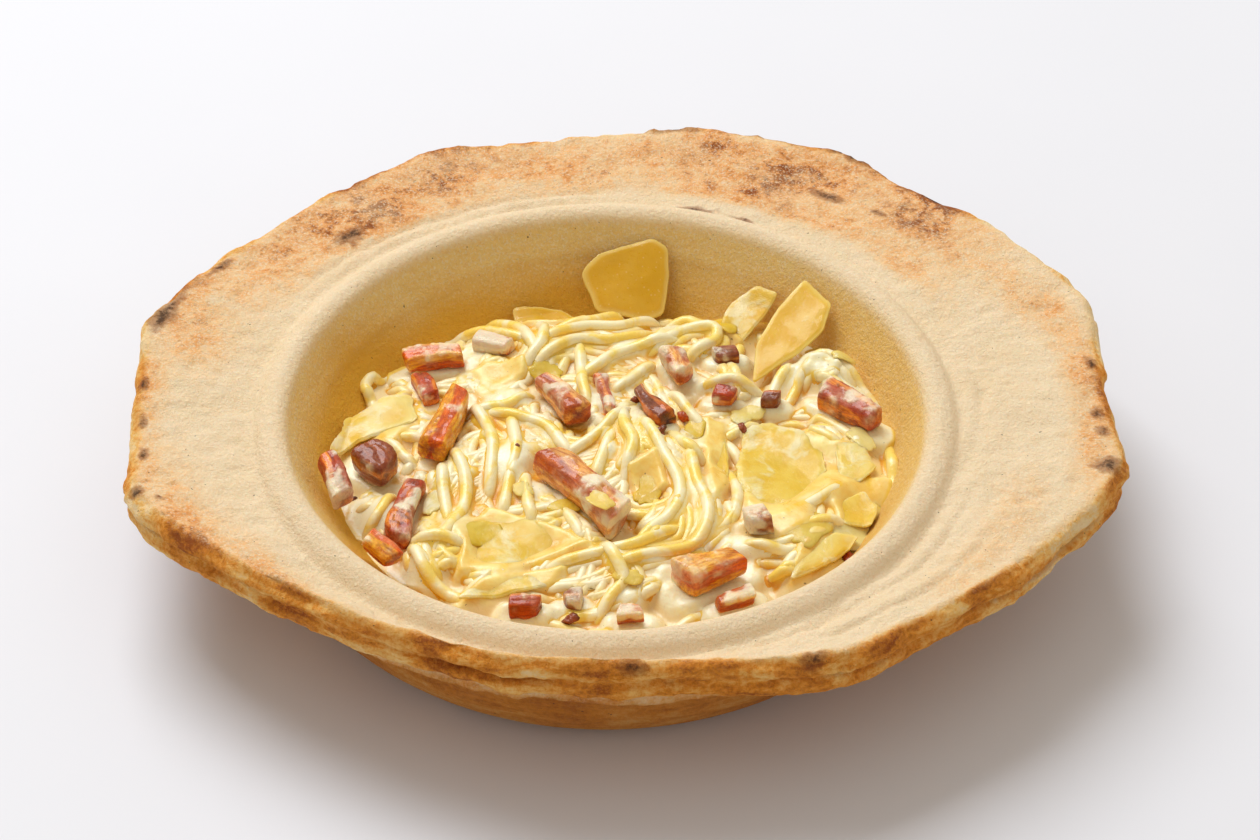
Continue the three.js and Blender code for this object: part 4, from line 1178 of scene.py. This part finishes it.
def lardonPiece(number, piece, finish):
    # superellipse section |c|^power + |s|^power = 1 along a bent line, rounded off and torn at both ends
    middle, half, side, up = barFrame(piece)
    width, height = piece["size"]
    reach, seed, power = np.linalg.norm(half), 30 + number, bacon["power"]
    t = np.linspace(-1, 1, bacon["along"])
    t = t * (1 - 0.12 * (1 - t * t))  # closer together at the ends
    t, angle = np.meshgrid(t, ringAngles(bacon["around"]), indexing="ij")
    u, cosine, sine = t * reach, np.cos(angle), np.sin(angle)
    corner = (np.abs(cosine) ** power + np.abs(sine) ** power) ** (-1 / power)
    fromEnd = np.clip((1 - np.abs(t)) * reach / (0.2 * min(width, height)), 0, 1)
    rounded = np.clip(1 - (1 - fromEnd) ** 2.6, 0, 1) ** 0.5
    taper = 0.97 + 0.03 * np.cos(3 * t) - 0.09 * (1 + t * (-1) ** number)
    across = corner * cosine * width / 2 * 0.97 * rounded * taper
    above = corner * sine * height / 2 * 0.97 * rounded * taper
    # lumps, fibres and pits of the surface, and the layers of fat and meat
    lumps = layeredNoise(u, across * 1.4, above * 1.4, bacon["lumps"], 2, seed)
    fibres = layeredNoise(u * 0.3, across, above, bacon["fibres"], 2, seed + 1)
    pits = layeredNoise(u, across, above, bacon["pits"], 2, seed + 2)
    layer, _ = turned(across, -above, 0.6 * number)
    band = np.sin((layer + 0.9 * lumps) * 2 * np.pi / (0.75 * width) + number)
    ragged = bacon["ragged"] * piece.get("ragged", 1.8 if reach < 4.6 else 1)
    shrink = 0.96 + ragged * (1.5 * lumps + 0.6 * fibres) * (0.4 + 0.6 * rounded) + 0.02 * pits + 0.035 * band
    slant = (0.42 * np.sin(5.1 * number) * (1 + t) + 0.42 * np.cos(3.7 * number) * (1 - t)) / 2
    lengthwise = t - np.sign(t) * 0.05 * (1 - rounded) * (1 + lumps) + slant * across / reach
    skew = 0.22 * latticeNoise(u, 0, 0, 9, seed)
    across = across * shrink * (1 + 0.16 * latticeNoise(u, 0, 5, 7, seed)) + skew * above
    above = above * shrink * (1 + 0.12 * latticeNoise(u, 0, 15, 7, seed))
    sideways = across + piece["bend"] * (1 - t**2)
    points = middle + np.clip(lengthwise, -1, 1)[..., None] * half + side * sideways[..., None]
    points = points + up * above[..., None]
    # colour: fat and meat, seared edges, cream on what faces up and where the bar is bedded in
    *tones, share = bacon["tones"][piece["tone"]]
    meat, fat, sear = [linear(*tone) for tone in tones]
    fatty = smoothStep(band + 0.5 * fibres, 1 - 2 * share, 1.5 - 2 * share)[..., None]
    edges = smoothStep(corner * np.maximum(np.abs(cosine), np.abs(sine)), 0.8, 1.2)
    hot = smoothStep(0.55 * edges + 0.5 * pits + 0.5 * lumps + 0.35 * (1 - rounded), 0.42, 0.9)[..., None]
    colour = blended(blended(meat, fat, fatty), sear, 0.75 * hot) * (1 + 0.3 * fibres[..., None])
    wet = layeredNoise(*np.moveaxis(points, -1, 0), 4.2, 4, seed + 5)
    film = wet + 0.3 * smoothStep(sine, -0.7, 0.7) - 0.2 - 0.62 * (1 - 2 * piece["cream"])
    film = film + piece.get("lean", 0) * t
    cream = 0.22 * smoothStep(film, -0.35, 0.1) + 0.62 * smoothStep(film, -0.02, 0.26)
    bedded = smoothStep(middle[2] - points[..., 2], 1.6, 3.2) * smoothStep(wet, -0.35, 0.2)
    cream = np.maximum(cream, 0.8 * bedded)[..., None]
    points = points + bacon["creamDepth"] * cream * (side * cosine[..., None] + up * sine[..., None])
    tint = 0.55 * (1 - piece["cream"]) * smoothStep(wet, 0.55, 0)[..., None]
    colour = blended(colour, blended(linear(*bacon["cream"]), colour, tint), cream)
    points, faces = closedGrid(points)
    along = withEnds(np.stack([u * 0.22 + 20 * number, across, above], -1)) * metre
    colours = {"shade": np.clip(withEnds(colour), 0, 1), "along": along}
    values = {"cream": withEnds(cream)}
    name, node = f"lardon{number:02d}", f"bacon_{number:02d}"
    return makePiece(name, points, faces, finish, [node], values, colours)


def friedBacon():
    # glossy meat with fibres along the bar, duller and paler where cream lies on it
    glow = {"Subsurface_Weight": 0.2, "Subsurface_Scale": 0.002, "Subsurface_Radius": (1, 0.4, 0.15)}
    f = Finish("friedBacon", Coat_Roughness=0.07, Specular_IOR_Level=0.2, **glow)
    fibre = f.noise(0.8, 4, 0.7, 0.3, f.colour("along"))
    grain, sheen = f.noise(0.6, 3, 0.65), f.noise(2.4, 2, 0.5)
    meat = f.mix(f.between(fibre, 0.38, 0.62) * 0.7, f.colour("shade"), (190, 102, 34), "MULTIPLY")
    meat = f.mix(f.between(fibre, 0.56, 0.74) * 0.35, meat, (252, 172, 70))
    colour = f.mix(f.value("cream"), meat, f.colour("shade"))
    colour = f.mix(f.value("cream") * f.between(grain, 0.55, 0.7) * 0.3, colour, (250, 240, 214))
    glint = (1 - f.value("cream")) * 0.4 + 0.1
    roughness = f.between(sheen, 0.3, 0.7) * 0.2 + 0.24 + f.value("cream") * 0.12
    return f.wear(colour, roughness, f.bump(fibre * 0.8 + grain * 0.5 + sheen * 0.7, 0.4), glint)


meatFinish = friedBacon()
for number, piece in enumerate(lardons, 1):
    lardonPiece(number, piece, meatFinish)
print("bacon")

bits = {
    # browned scraps between the strands: x, y, length, width, tone
    "scraps": [
        (-19.7, -2.7, 1.5, 1.2, "charred"), (52.5, -36.5, 4, 2.6, "red"), (-7.4, -53.8, 3.4, 2.8, "brown"),
        (-25.4, 38, 4.4, 2.8, "orange"), (12, 1.3, 3.4, 2.4, "charred"), (-56, -12, 1.8, 1.4, "charred"),
        (30.5, 5.6, 3, 2, "brown"), (6.2, 14.6, 3.6, 2.4, "brown"), (17.4, 9.4, 3, 2.2, "orange"),
    ],
    "rows": 18,
    "columns": 26,
}


def baconBits(finish):
    # round lumps drawn out along one way, each radius scaled by 1 + 0.9 * noise
    bodies, shades = [], []
    theta = np.linspace(0, np.pi, bits["rows"] + 2)[1:-1]
    theta, phi = np.meshgrid(theta, ringAngles(bits["columns"]), indexing="ij")
    ball = np.stack([np.sin(theta) * np.cos(phi), np.sin(theta) * np.sin(phi), np.cos(theta)], -1)
    for i, (middleX, middleY, length, width, tone) in enumerate(bits["scraps"]):
        lump = 1 + 0.9 * layeredNoise(*np.moveaxis(ball, -1, 0), 1.2, 3, 110 + i)
        a, b, c = np.moveaxis(ball * lump[..., None] * [length / 2, width / 2, width / 2.4], -1, 0)
        a, b = turned(a, b, 1.9 * i)
        middleZ = max(raster.sample(level, middleX, middleY) for level in (bare, sauceTop)) - 0.02 * width
        bodies.append((np.stack([middleX + a, middleY + b, middleZ + c], -1), None))
        meat, _, sear, _ = bacon["tones"][tone]
        hot = 0.7 * smoothStep(lump, 1.0, 1.4)[..., None]
        shades.append(withEnds(blended(linear(*meat), linear(*sear), hot)))
    points, faces = joinedGrids(bodies)
    colours = {"shade": np.concatenate(shades), "along": points * metre}
    return makePiece("baconBits", points, faces, finish, (), {"cream": 0.25}, colours)


baconBits(meatFinish)
print("bacon bits")

# the parmesan
cheese = {
    "thickness": 1.1,
    "wave": 0.35,
    "frayed": 0.9,
    "rings": 22,
    "spokes": 190,
    "outlineStep": 0.2,
    "softened": 5,
    "sag": 0.45,
    "curl": 0.5,
    "lifted": 0.5,
    "ridge": 0.18,
    "golden": 0.25,
    "frost": 0.3,
}


def softOutline(corners):  # points on rays to a closed outline whose corners are a little rounded
    step, soft = cheese["outlineStep"], cheese["softened"]
    line = evenlySpaced(np.concatenate([corners, corners[:1]]), step)[:-1]
    line = sum(np.roll(line, k, 0) for k in range(-soft, soft + 1)) / (2 * soft + 1)
    line = evenlySpaced(np.concatenate([line, line[:1]]), step)[:-1]
    return line[np.round(np.arange(cheese["spokes"]) * len(line) / cheese["spokes"]).astype(int)]


def shavingPiece(number, piece, finish):
    # rays from the middle to the outline; both faces follow the same wavy height, closed by a rounded edge
    corners = np.array(piece["corners"], float)
    nextCorner = np.roll(corners, -1, 0)
    area = (corners[:, 0] * nextCorner[:, 1] - nextCorner[:, 0] * corners[:, 1]).sum()
    corners = corners if area > 0 else corners[::-1]
    halves = np.stack([corners, (corners + np.roll(corners, -1, 0)) / 2], 1).reshape(-1, 2)
    middle, stiff, loose = halves.mean(0), piece["stiffness"], 1 - piece["stiffness"]
    line = softOutline(corners)
    frayed = layeredNoise(line[:, 0], line[:, 1], 0, 3.2, 3, 60 + number)
    outward = line - middle
    outward /= np.linalg.norm(outward, axis=1, keepdims=True)
    line = line + outward * (cheese["frayed"] * frayed * (1.3 - stiff) + 0.1)[:, None]
    share = 1 - (1 - np.linspace(0, 1, cheese["rings"])) ** 1.4
    x, y = np.moveaxis(middle + share[:, None, None] * (line - middle), -1, 0)

    def level(x, y):  # between the slope of a stiff slab and the ground under a soft sheet
        slopeX, slopeY = piece.get("slope", (0, 0))
        tilted = groundHeight(*middle) + slopeX * (x - middle[0]) + slopeY * (y - middle[1])
        wave = cheese["wave"] * np.sin(x / 3.1 + number) * np.cos(y / 3.7 - number)
        return groundHeight(x, y) * loose + tilted * stiff + wave

    tests = np.concatenate([[middle], halves, (halves + middle) / 2]).T
    lift = (groundHeight(*tests) - level(*tests)).max() + heap["clearance"]
    drape = raster.sample(sheetDrape, x, y)
    curl = smoothStep(share, 0.7, 1)[:, None] * cheese["curl"] * layeredNoise(x, y, 0, 7, 2, 70 + number)
    detail = loose * (cheese["sag"] * np.clip(drape, -1, 0.9) + curl + cheese["lifted"])
    detail = detail + 0.14 * layeredNoise(x, y, 0, 3.4, 2, 80)
    centre = level(x, y) + lift + detail + cheese["thickness"] / 2
    half = cheese["thickness"] / 2 * (1 - 0.45 * smoothStep(share, 0.86, 1)[:, None])
    top, bottom = [np.stack([x, y, centre + way * half], -1) for way in (1, -1)]
    ridge = np.column_stack([line + outward * cheese["ridge"], centre[-1]])
    rings = np.concatenate([top[1:], ridge[None], bottom[1:][::-1]])
    points, faces = closedGrid(rings, inward=True, poles=[top[0, 0], bottom[0, 0]])

    def onBothFaces(data):  # the values of the rings of the top, the ridge, the underside and the poles
        return np.concatenate([data[1:].ravel(), data[-1], data[1:][::-1].ravel(), [data[0, 0]] * 2])

    values = {key: piece.get(key, cheese[key]) for key in ("golden", "frost")}
    # paler where a strand lifts the sheet: painted light showing through it
    values["below"] = onBothFaces(np.clip(drape * 0.8 + 0.5, 0, 1) * loose + 0.2 * stiff)
    values["edge"] = onBothFaces(np.broadcast_to(share[:, None], x.shape))
    name, node = f"shaving{number:02d}", f"parmesan_{number:02d}"
    return makePiece(name, points, faces, finish, [node], values)


def hardCheese():
    # waxy yellow, paler where a strand lies close below (painted light showing through the sheet) and along
    # the cut edge, with a few pale crystals
    glow = {"Subsurface_Weight": 0.4, "Subsurface_Scale": 0.004, "Subsurface_Radius": (1, 0.78, 0.25)}
    f = Finish("hardCheese", Roughness=0.38, Specular_IOR_Level=0.3, **glow)
    clouds, crystals, grain = f.noise(6, 3, 0.6, 0.4), f.cells(1.5), f.noise(0.8, 3, 0.65)
    colour = f.mix(f.between(clouds, 0.35, 0.68), (232, 186, 44), (242, 206, 84))
    colour = f.mix(f.value("golden") * 0.85, colour, (208, 154, 12))
    # painted light: paler where a strand lies close below the sheet
    colour = f.mix(f.between(f.value("below"), 0.3, 0.9) * 0.6, colour, (247, 231, 156))
    colour = f.mix((1 - f.between(crystals, 0.06, 0.2)) * 0.15, colour, (255, 242, 200))
    colour = f.mix(f.between(f.value("edge"), 0.85, 1.0) * 0.3, colour, (255, 234, 160))
    cream = f.between(f.noise(9, 4, 0.65, 0.6) + f.value("frost") * 0.2 - f.value("golden") * 0.25, 0.5, 0.66)
    colour = f.mix(cream * 0.55, colour, (248, 241, 202))
    roughness = f.between(grain, 0.3, 0.7) * 0.2 + f.value("frost") * 0.2 + 0.26
    height = grain * (f.value("frost") * 2 + 0.6) + clouds * 0.6 + cream * 0.8
    return f.wear(colour, roughness, f.bump(height, 0.1), f.between(clouds, 0.35, 0.6) * 0.2)


cheeseFinish = hardCheese()
sheetDrape = raster.blur(bare, 1.7) - raster.blur(bare, 4.5)
for number, piece in enumerate(shavings, 1):
    shavingPiece(number, piece, cheeseFinish)

scraps = {
    # x, y, half length, half width, turn in degrees, how far it stands clear
    "flat": [
        (-27, -28.5, 5, 4.2, 20, 0.7), (-1, -27.5, 3.4, 2.4, -50, 8.4), (9.5, -17, 5, 3, 70, 0.2),
        (50, -31, 9, 4, 18, 0.1), (44, -30, 6, 4.5, 60, 0), (32, -11.5, 5, 4, 10, 0.1),
        (31.5, 10.5, 4, 2.6, 30, 1), (28, 44, 4.5, 3.5, 70, 1.5), (57, 0, 4, 2.2, -60, 0.8),
        (60, -22, 4, 2, -70, 0.8), (-14, 25, 4, 2.6, -20, 0.8), (-38, -18, 3.4, 2, 80, 0.5),
        (-9, -21, 3.6, 2.2, 15, 0.6), (20, 5, 4, 2.2, 75, 0.7), (54, 26, 3, 1.8, 0, 1.2),
        (48, 33, 2.6, 1.8, 40, 1), (-56, 12, 4, 2.4, 50, 0.8), (5, -45, 3.2, 2, -10, 0.6),
        (20, -38, 3, 1.8, 40, 0.6), (-18, -16, 3, 1.8, -60, 0.6),
    ],
    "thickness": 0.6,
    "rings": 9,
    "spokes": 60,
    "golden": 0.35,
}


def cheeseScraps(finish):
    # small flakes as superellipses |c|^3 + |s|^3 = 1, frayed, sagging a little onto what lies below
    bodies, below, angle = [], [], ringAngles(scraps["spokes"])
    share = (np.arange(1, scraps["rings"] + 1) / scraps["rings"])[:, None]
    skin = np.maximum(raster.blur(bare, 1.2), raster.blur(sauceTop, 1.2))
    cosine, sine, half = np.cos(angle), np.sin(angle), scraps["thickness"] / 2
    corner = (np.abs(cosine) ** 3 + np.abs(sine) ** 3) ** (-1 / 3)
    for i, (middleX, middleY, length, width, turn, clear) in enumerate(scraps["flat"]):
        ragged = corner * (1 + 0.34 * layeredNoise(2.2 * cosine, 2.2 * sine, 0, 1.4, 3, 90 + i)) * share
        a, b = turned(length * ragged * cosine, width * ragged * sine, math.radians(turn))
        x, y, middle = middleX + a, middleY + b, raster.sample(skin, middleX, middleY)
        sag = np.clip(0.55 * (raster.sample(skin, x, y) - middle), -2, 1.5)
        z = middle + sag + clear - 0.25 + 0.3 * layeredNoise(x, y, 0, 4, 2, 40 + i)
        thick = half * (1 - 0.8 * share**6)
        rings = np.concatenate([np.stack([x, y, z + thick], -1), np.stack([x, y, z - thick], -1)[::-1]])
        poles = [[middleX, middleY, z[0].mean() + way * half] for way in (1, -1)]
        bodies.append((rings, poles))
        below.append(np.full(2 * len(angle) * len(share) + 2, i * 0.618 % 1))
    points, faces = joinedGrids(bodies)
    values = {"below": np.concatenate(below), "edge": 0, "golden": scraps["golden"], "frost": cheese["frost"]}
    return makePiece("cheeseScraps", points, faces, finish, (), values)


cheeseScraps(cheeseFinish)
print("parmesan")

# the floor, the light and the camera
studio = {
    "floor": (224, 226, 232),
    "lens": 100,
    "camera": (0.0053, -0.59495, 0.53095),
    "tilt": 50,
    "key": (-0.7, 1.37, 2.0),
    "keySize": 1.55,
    "keyPower": 55,
    "keyColour": (0.93, 0.96, 1.0),
    "fill": 0.56,
    "fillColour": (1.0, 0.91, 0.8),
}


def floorPiece():  # a pale plain square, a hair below the foot
    f = Finish("paleFloor", Roughness=0.6)
    tone = f.mix(f.noise(60, 3), studio["floor"], [c + 3 for c in studio["floor"]])
    mesh = bpy.data.meshes.new("floor")
    corners = [(-3, -3, 0), (3, -3, 0), (3, 3, 0), (-3, 3, 0)]
    mesh.from_pydata(corners, [], [(0, 1, 2, 3)])
    mesh.materials.append(f.wear(tone))
    floor = bpy.data.objects.new("floor", mesh)
    floor.location.z = -0.0002
    bpy.context.scene.collection.objects.link(floor)


def studioLight():  # even warm light from all round and one large cool lamp behind, turned to the middle
    world = bpy.data.worlds.new("studio")
    world.use_nodes = True
    background = world.node_tree.nodes["Background"].inputs
    background["Color"].default_value = (*studio["fillColour"], 1)
    background["Strength"].default_value = studio["fill"]
    bpy.context.scene.world = world
    lamp = bpy.data.lights.new("key", "AREA")
    lamp.energy, lamp.size = studio["keyPower"], studio["keySize"]
    lamp.color = studio["keyColour"]
    key = bpy.data.objects.new("key", lamp)
    key.location = studio["key"]
    x, y, z = studio["key"]
    key.rotation_euler = (math.acos(z / math.dist((0, 0, 0), (x, y, z))), 0, math.atan2(-y, -x) - math.pi / 2)
    bpy.context.scene.collection.objects.link(key)


def tableCamera():  # looks down at the table from the near side
    lens = bpy.data.cameras.new("camera")
    lens.lens, lens.sensor_width = studio["lens"], 36
    camera = bpy.data.objects.new("camera", lens)
    camera.location = studio["camera"]
    camera.rotation_euler = (math.radians(studio["tilt"]), 0, 0)
    bpy.context.scene.collection.objects.link(camera)
    bpy.context.scene.camera = camera


floorPiece()
studioLight()
tableCamera()
bpy.context.scene.view_settings.view_transform = "Standard"
print("studio")
